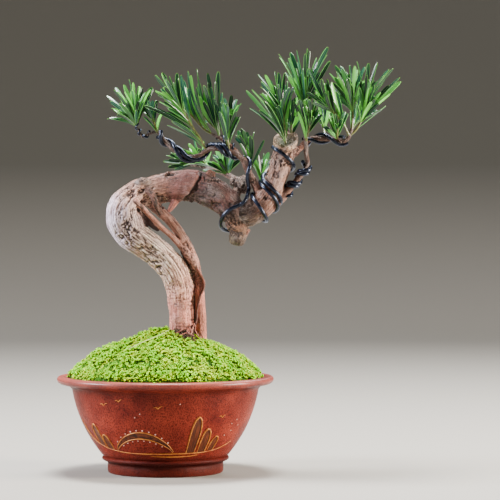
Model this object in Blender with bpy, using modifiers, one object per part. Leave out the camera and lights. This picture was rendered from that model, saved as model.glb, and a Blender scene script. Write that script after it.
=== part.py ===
"""A Buddhist pine bonsai: a wired tree in soil and moss, in its round clay pot.

Every place is given in millimetres from the pot's axis at the foot, with +Z up and +X to the
right of the tree's front. One empty, pot_axis, then carries the whole object sideways, so that
the origin lies under the middle of the pot and the leaning tree together.
"""

import math

import bmesh
import bpy
from mathutils import Vector
from mathutils.bvhtree import BVHTree

MM = 0.001
MERGE = 0.00002

# The pot, turned about its axis.
RIM_RADIUS = 90.0
RIM_HEIGHT = 80.0
MOUTH_RADIUS = 81.0
NECK_RADIUS = 77.5
NECK_HEIGHT = 69.0
WAIST_RADIUS = 53.2
WAIST_HEIGHT = 15.8
FOOT_RADIUS = 48.0
FOOT_INNER_RADIUS = 41.5
FOOT_HEIGHT = 6.0
UNDERSIDE_HEIGHT = 9.5
FLOOR_TOP = 14.5
DRAIN_RADIUS = 8.0
WALL = 5.0
BELLY_BULGE = 3.8
POT_STEPS = 32

# The seat gap between touching pieces.
GAP = 0.3

# The plastic screen over the drain hole.
SCREEN_SIDE = 25.0
SCREEN_CELLS = 4
SCREEN_THICKNESS = 1.2

# The soil, the moss on it and the socket that holds the roots.
SOIL_EDGE_HEIGHT = 76.0
SOIL_CROWN = 109.0
MOSS_EDGE_RADIUS = 80.2
MOSS_CROWN = 120.0
MOSS_STEPS = 28
SOCKET_FLOOR = 84.0
ROOT_TOP = 112.0
SOCKET_TOP = 125.0
ROOT_CENTRE = (18.5, 0.0)
ROOT_BOTTOM_RADII = (19.5, 14.5)
ROOT_TOP_RADII = (17.5, 12.5)
ROOT_SIDES = 24

# How far the pot's axis stands from the middle of the whole object.
AXIS_SHIFT_X = -53.0
AXIS_SHIFT_Y = 0.0

# The wood: each limb is a line of (x, y, z, radius) points.
TRUNK = [
    (14.5, 0, 98, 12.6), (13.3, 0, 114, 10.6), (12.9, 0, 128, 10.3), (12.7, 0, 143, 10.6),
    (11, -1, 156, 11.6), (5.5, -2, 169, 12.0), (-4.8, -3, 180, 12.0), (-16.2, -4, 189, 12.4),
    (-27, -5, 197.5, 14.0), (-32.8, -5, 208, 16.0), (-33, -4, 219, 15.0), (-28, -2, 227, 12.6),
    (-20, 1, 232, 11.6), (-8.5, 3, 234.5, 11.6), (5.5, 4, 237, 12.9), (20.5, 4, 237.5, 13.6),
    (33, 3, 235.5, 14.0), (44.5, 2, 229.5, 13.5), (53.5, 1, 220.5, 12.2), (59, 0, 210.5, 10.6),
    (60.3, 0, 201.5, 8.4), (60.5, -1, 194.5, 6.0),
]
STUB_NUB = [(60, 0, 203, 5.5), (65, -1, 201, 4.8), (69.5, -1.5, 199, 3.6)]
LEADER = [
    (60.3, 0, 212, 10.0), (70.3, -1, 215, 11.0), (80.2, -1, 222, 10.8), (87, 0, 232, 10.0),
    (91.5, 0, 243, 9.6), (95.5, 0, 253.7, 9.1), (99.4, 0, 265.4, 8.9), (101, 0, 276, 8.9),
]
TOP_KNOT = [(99, -1, 263, 6.0), (106, -1, 266, 5.0), (110.5, 0, 267.5, 3.8)]
WIDE_STRAND = [
    (-12.9, 5, 225, 5.8), (-4.6, 4, 217, 5.0), (3.7, 3, 208.8, 4.6), (12, 2, 198, 4.5),
    (18, 1, 188, 4.4), (22, 0, 179, 4.4), (25.4, 1, 170.6, 4.2), (27.3, 2, 160, 4.0),
    (28.7, 2, 143, 4.0), (29.5, 2, 126.5, 4.3), (29.5, 2, 108, 4.8),
]
THIN_STRAND = [
    (-25, -15, 226, 2.2), (-18.7, -13, 219.7, 2.4), (-11, -9, 211.5, 2.4), (-2, -6, 202.5, 2.4),
    (5.4, -4, 196, 2.4), (12, -3, 188.5, 2.4), (17, -2, 182.3, 2.6), (22, -1, 176.4, 2.8),
]
THIN_ROOT = [
    (22, -4, 175, 1.3), (26.2, -4, 169.8, 1.2), (29.5, -3, 164, 1.1), (32.2, -2, 158, 1.1),
    (31.5, -3, 151.5, 1.1), (28.7, -4, 145.7, 1.1), (26.5, -4, 135, 1.1), (25.5, -4, 125, 1.1),
    (23, -6, 118.5, 1.1), (19, -8, 108, 1.3),
]
LEFT_BRANCH = [
    (80, 0, 229, 4.4), (75.5, -1, 238, 3.6), (71, -2.5, 246, 3.2), (67.5, -3.5, 253.5, 3.0),
    (64.5, -4.2, 260, 2.9), (58, -5, 265, 2.7), (48.6, -6, 268, 2.5), (38.7, -6, 268.7, 2.3),
    (32, -6, 265.4, 2.2), (24.5, -6, 262, 2.1), (15.4, -6, 262.5, 2.0), (7, -6, 268, 1.9),
    (0.4, -5, 274.5, 1.8), (-5.4, -5, 282, 1.6), (-13, -4, 281.2, 1.4), (-18.7, -4, 278, 1.3),
    (-21, -4, 282, 1.2), (-24.3, -4, 288.5, 1.2),
]
UPPER_TWIG = [
    (63.5, -4.2, 261, 2.5), (56, -3, 269.5, 2.1), (50, -1, 275, 1.9), (43.6, 1, 278.5, 1.7),
    (38, 2, 281.5, 1.4),
]
BACK_BRANCH = [
    (56, 2, 224, 5.0), (60, 12, 236, 3.6), (58, 18, 243, 3.0), (52, 26, 247, 2.7),
    (43, 35, 251, 2.3), (34, 42, 254, 2.0), (26, 45, 255.5, 1.8), (20, 47, 256, 1.6),
]
RIGHT_TWIG = [
    (88, 0, 222, 3.4), (96, -1, 226.5, 3.2), (102, -1.5, 234, 2.8), (108.5, -2, 242, 2.5),
    (115, -3, 250, 2.3), (118, -3, 257.5, 2.1), (116.5, -3, 265.5, 1.9), (116.8, -3, 272, 1.8),
    (115.8, -3, 280, 1.6),
]
RIGHT_BRANCH = [
    (104, 1, 264, 3.4), (111, 4, 268.5, 3.0), (115.5, 6, 273.5, 2.6), (121, 5.5, 277.2, 2.4),
    (130, 3, 277.4, 2.3), (141, 0.5, 276.6, 2.2), (148.5, -1, 275, 2.0), (153, -1, 279.5, 1.8),
    (155, -1, 286, 1.5),
]
LIMBS = [
    TRUNK, STUB_NUB, LEADER, TOP_KNOT, WIDE_STRAND, THIN_STRAND, THIN_ROOT, LEFT_BRANCH,
    UPPER_TWIG, BACK_BRANCH, RIGHT_TWIG, RIGHT_BRANCH,
]
LIMB_SPACING = 4.0
LIMB_RESOLUTION = 4
WOOD_VOXEL = 0.8
WOOD_KEPT = 0.016

# Training wire. A wind is (angle in degrees, distance along the limb): at 0 the wire is on the
# limb's front, at 90 on its right or top, at 180 behind it and at 270 on its left or underneath.
HEAVY_WIRE = 1.4
MIDDLE_WIRE = 1.2
THIN_WIRE = 0.8
WIRE_CLEARANCE = 0.5
WIND_STEP = 36
WIND_SPACING = 2.0
ANCHOR_HOOK = [
    (57, 10.5, 200), (51, 8, 200.5), (47, 2.5, 202), (45.3, -4.5, 206), (47.5, -10.5, 213),
    (54, -13.4, 219), (61, -13, 221.5), (66, -11.2, 224), (68, -8.5, 229), (69, -4, 234),
]
LEFT_WINDS = [
    (270, 11), (290, 16), (330, 22), (420, 30), (540, 37), (630, 43), (720, 50), (810, 57),
    (900, 65), (990, 73.5), (1080, 86), (1170, 96.5), (1260, 103.5), (1350, 109), (1440, 114),
    (1500, 117),
]
LEFT_SECOND_WINDS = [
    (600, 47), (630, 49), (720, 56), (810, 63), (900, 71.5), (990, 81.5), (1080, 95),
    (1170, 104), (1260, 110.5), (1350, 115.5),
]
LEFT_TIP_WINDS = [(1480, 124), (1740, 129), (2100, 136), (2460, 141), (2600, 144)]
UPPER_WINDS = [(250, 8), (360, 11), (540, 15.5), (720, 20.5), (900, 27), (960, 29)]
LEADER_WINDS = [
    (190, 13), (90, 18), (-60, 21), (-110, 27), (-270, 32), (-450, 46), (-630, 61), (-800, 75),
]
LEADER_SECOND_WINDS = [(-200, 22), (-270, 27), (-450, 41), (-540, 45.5), (-600, 45)]
TWIG_WINDS = [(150, 16), (360, 24), (720, 37), (1020, 48)]
TWIG_SECOND_START = [(-540, 36), (-590, 38)]
TWIG_SECOND_WINDS = [(-40, 17), (180, 25.5), (540, 38.5), (800, 47)]
RIGHT_WINDS = [(120, 17), (500, 54)]
RIGHT_SECOND_WINDS = [(-60, 17), (320, 54)]

# Leafy shoots: the stem's line from its limb outwards, then the tip of every leaf on it.
STEM_RADIUS = 1.1
STEM_TIP_RADIUS = 0.8
STEM_SPACING = 4.5
LEAF_WIDTH = 3.6
LEAF_THICKNESS = 0.9
LEAF_SIDES = 3
LEAF_SPREAD = 1.05
LEAF_STAGGER = 0.8
LEAF_TIERS = 5
LOWEST_LEAF = 0.35
TOP_LEAF_SETBACK = 0.8
STEM_BED = GAP + 0.05
LEAF_ROOM = GAP + 0.1
SHOOTS = {
    "shoot_left_end": (
        [(-23.6, -4, 286.5), (-24.5, -5, 293), (-25, -6, 298)],
        [(-48, -8, 293), (-39, -14, 297), (-44, -10, 302), (-46, 4, 308), (-49, 8, 313),
         (-42, -12, 317), (-42, 10, 320), (-33, -16, 315), (-30, -4, 326), (-27, 6, 324),
         (-22, 12, 321), (-16, -10, 315), (-26, -18, 316), (-11, 2, 320), (-10, 14, 319),
         (-24, -14, 300)],
    ),
    "shoot_left_bud": (
        [(-6.5, -5, 281.5), (-8.5, -4, 288), (-11, -2, 295)],
        [(-18, -8, 295), (-14, 6, 309), (-7, -2, 309), (-2, 10, 300), (-22, 12, 306)],
    ),
    "shoot_left_long": (
        [(34.5, -6, 266.6), (29, -7, 277), (23, -8, 286), (13, -10, 302)],
        [(0, -22, 308), (-8, -12, 316), (-17, -14, 304), (-8, -2, 302), (2, -10, 288),
         (6, -18, 291), (-8, -14, 329), (-3, -4, 331), (1, -20, 325), (4, -16, 328),
         (10, -8, 331), (13, 2, 330)],
    ),
    "shoot_left_mid": (
        [(39, 2, 281), (31, 3, 286), (20, 4, 298)],
        [(19, -6, 333), (21, 8, 330), (15, 14, 326), (8, 16, 320), (26, -10, 319),
         (11, 20, 312), (3, 22, 317)],
    ),
    "shoot_left_high": (
        [(45, 0.6, 277.8), (43, 4, 284), (37, 7, 290), (32, 8, 296)],
        [(26, 2, 335), (35, 8, 332), (44, 4, 333), (42, -6, 324), (32, -10, 321),
         (41, -8, 310), (20, 18, 323), (37, 20, 320), (47, 16, 316)],
    ),
    "shoot_left_back": (
        [(51, -1, 274.3), (48, 8, 283), (44, 15, 290)],
        [(43, 6, 300), (48, 14, 305), (37, 24, 302), (52, 22, 298), (33, 30, 293)],
    ),
    "shoot_middle": (
        [(53, -5.6, 266.8), (52, -8.5, 276), (53, -5, 291)],
        [(46, -8, 307), (55, -4, 313), (63, -6, 306), (40, -10, 310), (49, 6, 311),
         (59, 8, 310), (45, -16, 299), (62, -12, 295), (52, -16, 304)],
    ),
    "shoot_middle_low": (
        [(69, -3, 250), (72, 1.5, 256), (69, 6, 268)],
        [(65, 2, 284), (60, 12, 284), (68, 10, 283), (74, 6, 283), (82, 4, 276),
         (58, 8, 278), (72, -4, 277), (62, -6, 273)],
    ),
    "shoot_crotch": (
        [(79, 4, 230), (80, 11, 241), (80, 16, 251)],
        [(77, 12, 264), (82, 16, 265), (86, 22, 266), (72, 14, 259), (89, 26, 261),
         (74, 24, 255), (69, 18, 252)],
    ),
    "shoot_back_near": (
        [(52, 26, 247), (50, 27, 251), (48, 28, 256)],
        [(24, 30, 257), (33, 36, 259), (39, 26, 262), (48, 22, 270), (57, 20, 264),
         (62, 28, 260), (42, 34, 268), (53, 38, 268), (31, 22, 251)],
    ),
    "shoot_back_mid": (
        [(34, 42, 254), (31, 43, 258), (28, 44, 262)],
        [(18, 44, 274), (23, 50, 278), (10, 40, 270), (31, 40, 276), (14, 52, 268),
         (14, 38, 255), (38, 50, 272), (19, 56, 270)],
    ),
    "shoot_back_end": (
        [(21, 46.8, 256), (16.5, 47.5, 258), (11, 48, 261.5)],
        [(1, 46, 254), (-1, 52, 264), (4, 54, 272), (6, 40, 250), (-3, 42, 259)],
    ),
    "shoot_top_left": (
        [(100, -3, 273), (98, -5, 292), (96, -8, 305)],
        [(77, -6, 330), (79, -22, 319), (91, -12, 332), (94, 4, 332), (99, -4, 331),
         (87, 8, 326), (82, -30, 307), (72, -16, 317), (67, 2, 317), (70, -8, 302),
         (78, -20, 300), (76, 10, 305), (92, -24, 302), (103, -12, 319), (107, -6, 320),
         (98, 12, 327), (104, 12, 316)],
    ),
    "shoot_top_back": (
        [(104, 4, 272), (105, 8, 291)],
        [(106, 4, 310), (110, 14, 312), (113, 10, 306), (102, 20, 312), (99, 22, 305),
         (116, 18, 300)],
    ),
    "shoot_crown": (
        [(115.9, -3, 279), (116, -1, 297), (116, 0, 312)],
        [(94, -4, 347), (95, 10, 345), (104, 4, 349), (109, -6, 350), (116, -10, 347),
         (120, 2, 350), (135, 0, 353), (134, -8, 346), (137, 8, 342), (102, -16, 343),
         (114, -20, 334), (110, 14, 341), (126, 16, 345), (119, -16, 334), (100, 18, 333)],
    ),
    "shoot_crown_low": (
        [(116.6, -3, 274), (118.5, -7, 283), (121, -10, 293)],
        [(110, -14, 299), (106, -10, 308), (111, -18, 309), (117, -16, 310), (123, -16, 309),
         (127, -14, 301), (130, -6, 297), (114, -24, 302), (132, -2, 306)],
    ),
    "shoot_right_fore": (
        [(152.6, -1, 279), (147, -6, 290), (136, -9, 302)],
        [(119, -12, 334), (122, -4, 326), (129, -18, 326), (134, -12, 326), (121, -2, 313),
         (117, -12, 315), (127, 4, 323), (138, 0, 322), (122, -18, 306), (142, -16, 315)],
    ),
    "shoot_right_upright": (
        [(154.9, -1, 285), (155.5, 0, 297), (156, 2, 312)],
        [(141, 4, 338), (136, -4, 331), (146, -8, 334), (153, 0, 338), (157, -8, 337),
         (166, 6, 337), (160, 14, 335), (150, 16, 333), (139, -12, 323), (137, -6, 317),
         (137, 4, 312), (143, -18, 327), (150, -18, 325), (134, 14, 323), (146, 18, 338),
         (170, 16, 327), (142, 12, 310)],
    ),
    "shoot_right_low": (
        [(142.5, 0.2, 276.3), (142.5, -6, 281.5), (143, -11, 287)],
        [(135, -16, 296), (131, -10, 287), (140, -20, 288), (149, -16, 299), (151, -10, 298),
         (142, -6, 305), (138, -2, 302)],
    ),
    "shoot_right_end": (
        [(153.3, -1, 280), (158.5, 0, 284.5), (163, 2, 293), (165, 3, 303)],
        [(159, 0, 341), (169, 4, 340), (176, -2, 340), (186, 6, 335), (189, -4, 335),
         (195, 2, 328), (196, 8, 325), (188, -8, 320), (173, -12, 321), (177, -8, 306),
         (180, 4, 301), (164, 14, 326), (183, 16, 328), (168, -18, 318), (158, -12, 307)],
    ),
    "shoot_right_back": (
        [(133, 2.2, 277.2), (132, 12, 286), (131, 22, 295)],
        [(126, 24, 319), (134, 32, 321), (141, 26, 317), (119, 26, 307), (145, 34, 307),
         (130, 38, 312), (121, 34, 299)],
    ),
    "shoot_far_back": (
        [(149.3, -1, 275.8), (152, 7, 279.5), (156, 15, 286), (161, 22, 293)],
        [(173, 26, 317), (181, 24, 312), (168, 28, 324), (162, 34, 317), (177, 30, 302),
         (155, 36, 309), (184, 18, 305)],
    ),
}


def clear_scene():
    for obj in list(bpy.data.objects):
        bpy.data.objects.remove(obj, do_unlink=True)


def new_collection(name, hidden=False):
    collection = bpy.data.collections.new(name)
    bpy.context.scene.collection.children.link(collection)
    collection.hide_render = hidden
    return collection


def material(name, colour, roughness):
    made = bpy.data.materials.new(name)
    made.use_nodes = True
    shader = made.node_tree.nodes["Principled BSDF"]
    shader.inputs["Base Color"].default_value = (*colour, 1.0)
    shader.inputs["Roughness"].default_value = roughness
    made.diffuse_color = (*colour, 1.0)
    return made


def place(name, mesh, collection, axis, finish):
    """One named piece, carried by the pot's axis."""
    obj = bpy.data.objects.new(name, mesh)
    collection.objects.link(obj)
    obj.parent = axis
    if finish:
        mesh.materials.clear()
        mesh.materials.append(finish)
    return obj


def evaluated_mesh(obj):
    graph = bpy.context.evaluated_depsgraph_get()
    graph.update()
    return bpy.data.meshes.new_from_object(obj.evaluated_get(graph), depsgraph=graph).copy()


def catmull(before, start, end, after, t):
    """A point between start and end on the smooth curve through all four."""
    return [
        0.5 * (2 * b + (c - a) * t + (2 * a - 5 * b + 4 * c - d) * t * t
               + (3 * b - a - 3 * c + d) * t ** 3)
        for a, b, c, d in zip(before, start, end, after)
    ]


def smooth_line(points, spacing):
    """Points about `spacing` apart on a smooth curve through the given ones."""
    ends = [points[0], *points, points[-1]]
    line = []
    for i in range(1, len(ends) - 2):
        span = math.dist(ends[i][:3], ends[i + 1][:3])
        count = max(1, round(span / spacing))
        for k in range(count):
            line.append(catmull(*ends[i - 1:i + 3], k / count))
    line.append(list(points[-1]))
    return line


def tube_mesh(name, line, resolution):
    """A closed round tube along (x, y, z, radius) points."""
    curve = bpy.data.curves.new(name, "CURVE")
    curve.dimensions = "3D"
    curve.bevel_depth = MM
    curve.bevel_resolution = resolution
    curve.use_fill_caps = True
    spline = curve.splines.new("POLY")
    spline.points.add(len(line) - 1)
    for point, (x, y, z, radius) in zip(spline.points, line):
        point.co = (x * MM, y * MM, z * MM, 1.0)
        point.radius = radius
    holder = bpy.data.objects.new(name, curve)
    bpy.context.scene.collection.objects.link(holder)
    mesh = evaluated_mesh(holder)
    bpy.data.objects.remove(holder, do_unlink=True)
    work = bmesh.new()
    work.from_mesh(mesh)
    bmesh.ops.remove_doubles(work, verts=work.verts, dist=MERGE)
    work.to_mesh(mesh)
    work.free()
    return mesh


def joined_mesh(name, meshes):
    work = bmesh.new()
    for mesh in meshes:
        work.from_mesh(mesh)
    joined = bpy.data.meshes.new(name)
    work.to_mesh(joined)
    work.free()
    return joined


def add_boolean(obj, other, operation, own_folds=False):
    cut = obj.modifiers.new(operation.lower(), "BOOLEAN")
    cut.operation = operation
    cut.object = other
    cut.use_self = own_folds
    return cut


def helper(name, mesh, cutters, axis):
    obj = place(name, mesh, cutters, axis, None)
    obj.hide_render = True
    obj.display_type = "WIRE"
    return obj


def turned(name, profile, steps, collection, axis, finish):
    """A piece turned about the axis from a closed line of (radius, height) points."""
    mesh = bpy.data.meshes.new(name)
    points = [(radius * MM, 0.0, height * MM) for radius, height in profile]
    on_axis = profile[0][0] == 0 and profile[-1][0] == 0
    count = len(points)
    edges = [(i, (i + 1) % count) for i in range(count - 1 if on_axis else count)]
    mesh.from_pydata(points, edges, [])
    obj = place(name, mesh, collection, axis, finish)
    turn = obj.modifiers.new("turn", "SCREW")
    turn.steps = steps
    turn.render_steps = steps
    turn.use_merge_vertices = True
    turn.merge_threshold = MERGE
    turn.use_smooth_shade = True
    return obj


def bowed(start, end, bulge, count):
    """Points on a shallow arc between two (radius, height) points, without the last one."""
    along = Vector((end[0] - start[0], end[1] - start[1]))
    outward = Vector((-along.y, along.x)).normalized()
    arc = []
    for i in range(count):
        t = i / count
        rise = 4 * bulge * t * (1 - t)
        arc.append((start[0] + along.x * t + outward.x * rise,
                    start[1] + along.y * t + outward.y * rise))
    return arc


def pot_profile():
    """Down the outside from the mouth, under the foot, up through the drain and the inside."""
    lip = [(MOUTH_RADIUS, RIM_HEIGHT - 0.8), (MOUTH_RADIUS + 2.5, RIM_HEIGHT),
           (RIM_RADIUS - 1.4, RIM_HEIGHT - 0.2), (RIM_RADIUS, RIM_HEIGHT - 1.8),
           (RIM_RADIUS - 0.2, RIM_HEIGHT - 4.0), (RIM_RADIUS - 3.0, RIM_HEIGHT - 6.2),
           (NECK_RADIUS + 3.0, NECK_HEIGHT + 3.0)]
    belly = bowed((NECK_RADIUS, NECK_HEIGHT), (WAIST_RADIUS, WAIST_HEIGHT), BELLY_BULGE, 7)
    moulding = [(WAIST_RADIUS, WAIST_HEIGHT), (51.6, 14.3), (52.9, 12.3), (51.6, 10.2),
                (48.3, 7.4), (FOOT_RADIUS + 0.6, FOOT_HEIGHT)]
    foot = [(FOOT_RADIUS, 1.0), (FOOT_RADIUS - 1.0, 0.0), (FOOT_INNER_RADIUS + 0.8, 0.0),
            (FOOT_INNER_RADIUS, 0.8), (FOOT_INNER_RADIUS - 1.5, UNDERSIDE_HEIGHT)]
    floor = [(DRAIN_RADIUS, UNDERSIDE_HEIGHT), (DRAIN_RADIUS, FLOOR_TOP),
             (WAIST_RADIUS - WALL - 1.0, FLOOR_TOP)]
    inside = list(reversed(bowed((NECK_RADIUS - WALL + 0.5, NECK_HEIGHT),
                                 (WAIST_RADIUS - WALL + 0.5, WAIST_HEIGHT), BELLY_BULGE, 6)))
    return lip + belly + moulding + foot + floor + inside


def make_pot(parts, axis, finish):
    return turned("pot", pot_profile(), POT_STEPS, parts, axis, finish)


def make_screen(parts, axis, finish):
    """The coarse plastic net that keeps soil out of the drain hole."""
    mesh = bpy.data.meshes.new("drain_screen")
    work = bmesh.new()
    bmesh.ops.create_grid(work, x_segments=SCREEN_CELLS, y_segments=SCREEN_CELLS,
                          size=SCREEN_SIDE / 2 * MM)
    height = FLOOR_TOP + GAP + SCREEN_THICKNESS / 2
    bmesh.ops.translate(work, verts=work.verts, vec=(0, 0, height * MM))
    work.to_mesh(mesh)
    work.free()
    obj = place("drain_screen", mesh, parts, axis, finish)
    net = obj.modifiers.new("net", "WIREFRAME")
    net.thickness = SCREEN_THICKNESS * MM
    net.use_boundary = True
    net.use_even_offset = False
    return obj


def soil_profile():
    """The soil fills the pot, with a step under it that clears the drain screen."""
    crown = [(0.0, SOIL_CROWN), (24.0, SOIL_CROWN - 6.0), (45.0, 96.5), (62.0, 88.0),
             (70.5, SOIL_EDGE_HEIGHT)]
    wall = bowed((NECK_RADIUS - WALL - 0.4, NECK_HEIGHT - 1.0),
                 (WAIST_RADIUS - WALL - 0.4, WAIST_HEIGHT), BELLY_BULGE - 0.1, 6)
    screen_top = FLOOR_TOP + SCREEN_THICKNESS + 3 * GAP
    base = [(WAIST_RADIUS - WALL - 1.6, FLOOR_TOP + GAP), (20.0, FLOOR_TOP + GAP),
            (20.0, screen_top), (0.0, screen_top)]
    return crown + wall + base


def moss_profile():
    """A cushion of moss, thick at the crown and tucked inside the rim at its edge."""
    top = [(0.0, MOSS_CROWN), (12.0, 118.0), (24.5, 113.0), (36.0, 109.3), (47.0, 105.2),
           (58.0, 100.3), (67.0, 94.5), (74.0, 88.3), (78.5, 83.6), (MOSS_EDGE_RADIUS, 80.6)]
    under = [(MOSS_EDGE_RADIUS - 1.4, RIM_HEIGHT - 1.6), (76.0, 79.5), (72.0, 80.4),
             (62.2, 88.4), (45.2, 96.9), (24.1, SOIL_CROWN - 5.6), (0.0, SOIL_CROWN + 0.4)]
    return top + under


def root_plug(name, floor, top, grow):
    """The tapered oval block of root wood, or, grown and taller, the socket that it sits in."""
    mesh = bpy.data.meshes.new(name)
    work = bmesh.new()
    bmesh.ops.create_cone(work, cap_ends=True, segments=ROOT_SIDES, radius1=1.0, radius2=1.0,
                          depth=2.0)
    for vert in work.verts:
        low = vert.co.z < 0
        radii = ROOT_BOTTOM_RADII if low else ROOT_TOP_RADII
        vert.co.x = (vert.co.x * (radii[0] + grow) + ROOT_CENTRE[0]) * MM
        vert.co.y = (vert.co.y * (radii[1] + grow) + ROOT_CENTRE[1]) * MM
        vert.co.z = (floor if low else top) * MM
    work.to_mesh(mesh)
    work.free()
    return mesh


def make_wood_mesh():
    """All limbs grown into one skin, thinned to few faces, on the block of root wood."""
    tubes = [tube_mesh("limb", smooth_line(limb, LIMB_SPACING), LIMB_RESOLUTION)
             for limb in LIMBS]
    skin = bpy.data.objects.new("skin", joined_mesh("skin", tubes))
    bpy.context.scene.collection.objects.link(skin)
    grown = skin.modifiers.new("grown", "REMESH")
    grown.mode = "VOXEL"
    grown.voxel_size = WOOD_VOXEL * MM
    thinned = skin.modifiers.new("thinned", "DECIMATE")
    thinned.ratio = WOOD_KEPT
    plug = bpy.data.objects.new("plug", root_plug("plug", SOCKET_FLOOR + GAP, ROOT_TOP, 0.0))
    bpy.context.scene.collection.objects.link(plug)
    plug.hide_render = True
    add_boolean(skin, plug, "UNION")
    mesh = evaluated_mesh(skin)
    bpy.data.objects.remove(skin, do_unlink=True)
    bpy.data.objects.remove(plug, do_unlink=True)
    return mesh


def distances(line):
    """How far along a line each of its points lies."""
    total = [0.0]
    for start, end in zip(line, line[1:]):
        total.append(total[-1] + math.dist(start[:3], end[:3]))
    return total


def at_distance(line, along, distance):
    """(point, direction, radius) of a limb, a distance from its start."""
    distance = min(max(distance, 0.0), along[-1])
    i = min(max(k for k, value in enumerate(along) if value <= distance), len(line) - 2)
    t = (distance - along[i]) / (along[i + 1] - along[i])
    start, end = Vector(line[i][:3]), Vector(line[i + 1][:3])
    radius = line[i][3] * (1 - t) + line[i + 1][3] * t
    return start.lerp(end, t), (end - start).normalized(), radius


def wound(limb, winds, wire):
    """Points of a wire of this radius, wound round a limb."""
    line = smooth_line(limb, WIND_SPACING)
    along = distances(line)
    route = []
    for (angle, distance), (next_angle, next_distance) in zip(winds, winds[1:]):
        count = max(1, round(abs(next_angle - angle) / WIND_STEP))
        for k in range(count):
            t = k / count
            route.append((angle + (next_angle - angle) * t,
                          distance + (next_distance - distance) * t))
    route.append(winds[-1])
    points = []
    for angle, distance in route:
        centre, direction, radius = at_distance(line, along, distance)
        front = Vector((0, -1, 0))
        front = (front - direction * front.dot(direction)).normalized()
        side = direction.cross(front)
        turn = math.radians(angle)
        reach = radius + wire + WIRE_CLEARANCE
        points.append(tuple(centre + reach * (math.cos(turn) * front + math.sin(turn) * side)))
    return points


def wire_routes():
    """Each training wire's name, its radius and the points along its middle."""
    heavy, middle, thin = HEAVY_WIRE, MIDDLE_WIRE, THIN_WIRE
    return {
        "wire_left_anchor": (heavy, ANCHOR_HOOK + wound(LEFT_BRANCH, LEFT_WINDS, heavy)),
        "wire_left_second": (heavy, wound(LEFT_BRANCH, LEFT_SECOND_WINDS, heavy)),
        "wire_left_tip": (thin, wound(LEFT_BRANCH, LEFT_TIP_WINDS, thin)),
        "wire_upper_twig": (thin, wound(UPPER_TWIG, UPPER_WINDS, thin)),
        "wire_leader": (heavy, wound(LEADER, LEADER_WINDS, heavy)),
        "wire_leader_second": (heavy, wound(LEADER, LEADER_SECOND_WINDS, heavy)
                               + wound(RIGHT_TWIG, TWIG_WINDS, heavy)),
        "wire_twig_second": (heavy, wound(LEADER, TWIG_SECOND_START, heavy)
                             + wound(RIGHT_TWIG, TWIG_SECOND_WINDS, heavy)),
        "wire_right_first": (middle, wound(RIGHT_BRANCH, RIGHT_WINDS, middle)),
        "wire_right_second": (middle, wound(RIGHT_BRANCH, RIGHT_SECOND_WINDS, middle)),
    }


def wire_mesh(name, route, radius):
    """A wire, or, with a wider radius, the bed that it presses into the bark."""
    line = [(*point, radius) for point in route]
    return tube_mesh(name, line, 1)


def tree_of(mesh):
    work = bmesh.new()
    work.from_mesh(mesh)
    tree = BVHTree.FromBMesh(work)
    work.free()
    return tree


def leaf(tip, base, upward, grow):
    """One strap leaf from its base to its tip, flat side towards `upward`, as a bmesh."""
    along = tip - base
    length = along.length
    along.normalize()
    face = (upward - along * upward.dot(along)).normalized()
    across = along.cross(face)
    work = bmesh.new()
    bmesh.ops.create_uvsphere(work, u_segments=LEAF_SIDES, v_segments=LEAF_SIDES, radius=1.0)
    ring = math.sin(math.pi / LEAF_SIDES)
    half_width = LEAF_WIDTH / 2 / ring ** 2 + grow
    half_thickness = LEAF_THICKNESS / 2 / ring + grow
    for vert in work.verts:
        place_along = base + along * (vert.co.z + 1) / 2 * (length + grow)
        vert.co = (place_along + across * vert.co.y * half_width
                   + face * vert.co.x * half_thickness) * MM
    bmesh.ops.recalc_face_normals(work, faces=work.faces)
    return work


def leaf_bases(stem, tips):
    """Where each leaf leaves the stem: below its tip, higher leaves nearer the stem's end."""
    line = smooth_line([(*point, STEM_RADIUS) for point in stem], STEM_SPACING / 3)
    along = distances(line)
    total = along[-1]
    lowest = total * LOWEST_LEAF
    bases = []
    for number, tip in enumerate(tips):
        best = min(range(len(line)), key=lambda i: math.dist(line[i][:3], tip))
        point, direction, _ = at_distance(line, along, along[best])
        beyond = (Vector(tip) - point).dot(direction)
        sideways = ((Vector(tip) - point) - direction * beyond).length
        distance = along[best] + beyond - sideways * LEAF_SPREAD
        highest = total - TOP_LEAF_SETBACK - (number % LEAF_TIERS) * LEAF_STAGGER
        distance = min(max(distance, lowest), highest)
        bases.append(at_distance(line, along, distance)[:2])
    return bases


def shoot_mesh(name, stem, tips, thick_wood, taken):
    """A stem cut back from its limb, with every leaf that has room grown onto it."""
    ends = [(*point, STEM_RADIUS + (STEM_TIP_RADIUS - STEM_RADIUS) * i / (len(stem) - 1))
            for i, point in enumerate(stem)]
    core = bpy.data.objects.new(name, tube_mesh(name, smooth_line(ends, STEM_SPACING), 1))
    bpy.context.scene.collection.objects.link(core)
    add_boolean(core, thick_wood, "DIFFERENCE")
    leaves = []
    for tip, (base, direction) in zip(tips, leaf_bases(stem, tips)):
        wide = leaf(Vector(tip), base, direction, LEAF_ROOM)
        hits = any(BVHTree.FromBMesh(wide).overlap(tree) for tree in taken)
        wide.free()
        if hits:
            print("no room for a leaf of", name, "at", tip)
            continue
        thin = leaf(Vector(tip), base, direction, 0.0)
        mesh = bpy.data.meshes.new("leaf")
        thin.to_mesh(mesh)
        thin.free()
        blade = bpy.data.objects.new("blade", mesh)
        bpy.context.scene.collection.objects.link(blade)
        add_boolean(core, blade, "UNION")
        leaves.append(blade)
    mesh = evaluated_mesh(core)
    for obj in [core, *leaves]:
        bpy.data.objects.remove(obj, do_unlink=True)
    return without_crumbs(mesh)


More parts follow.
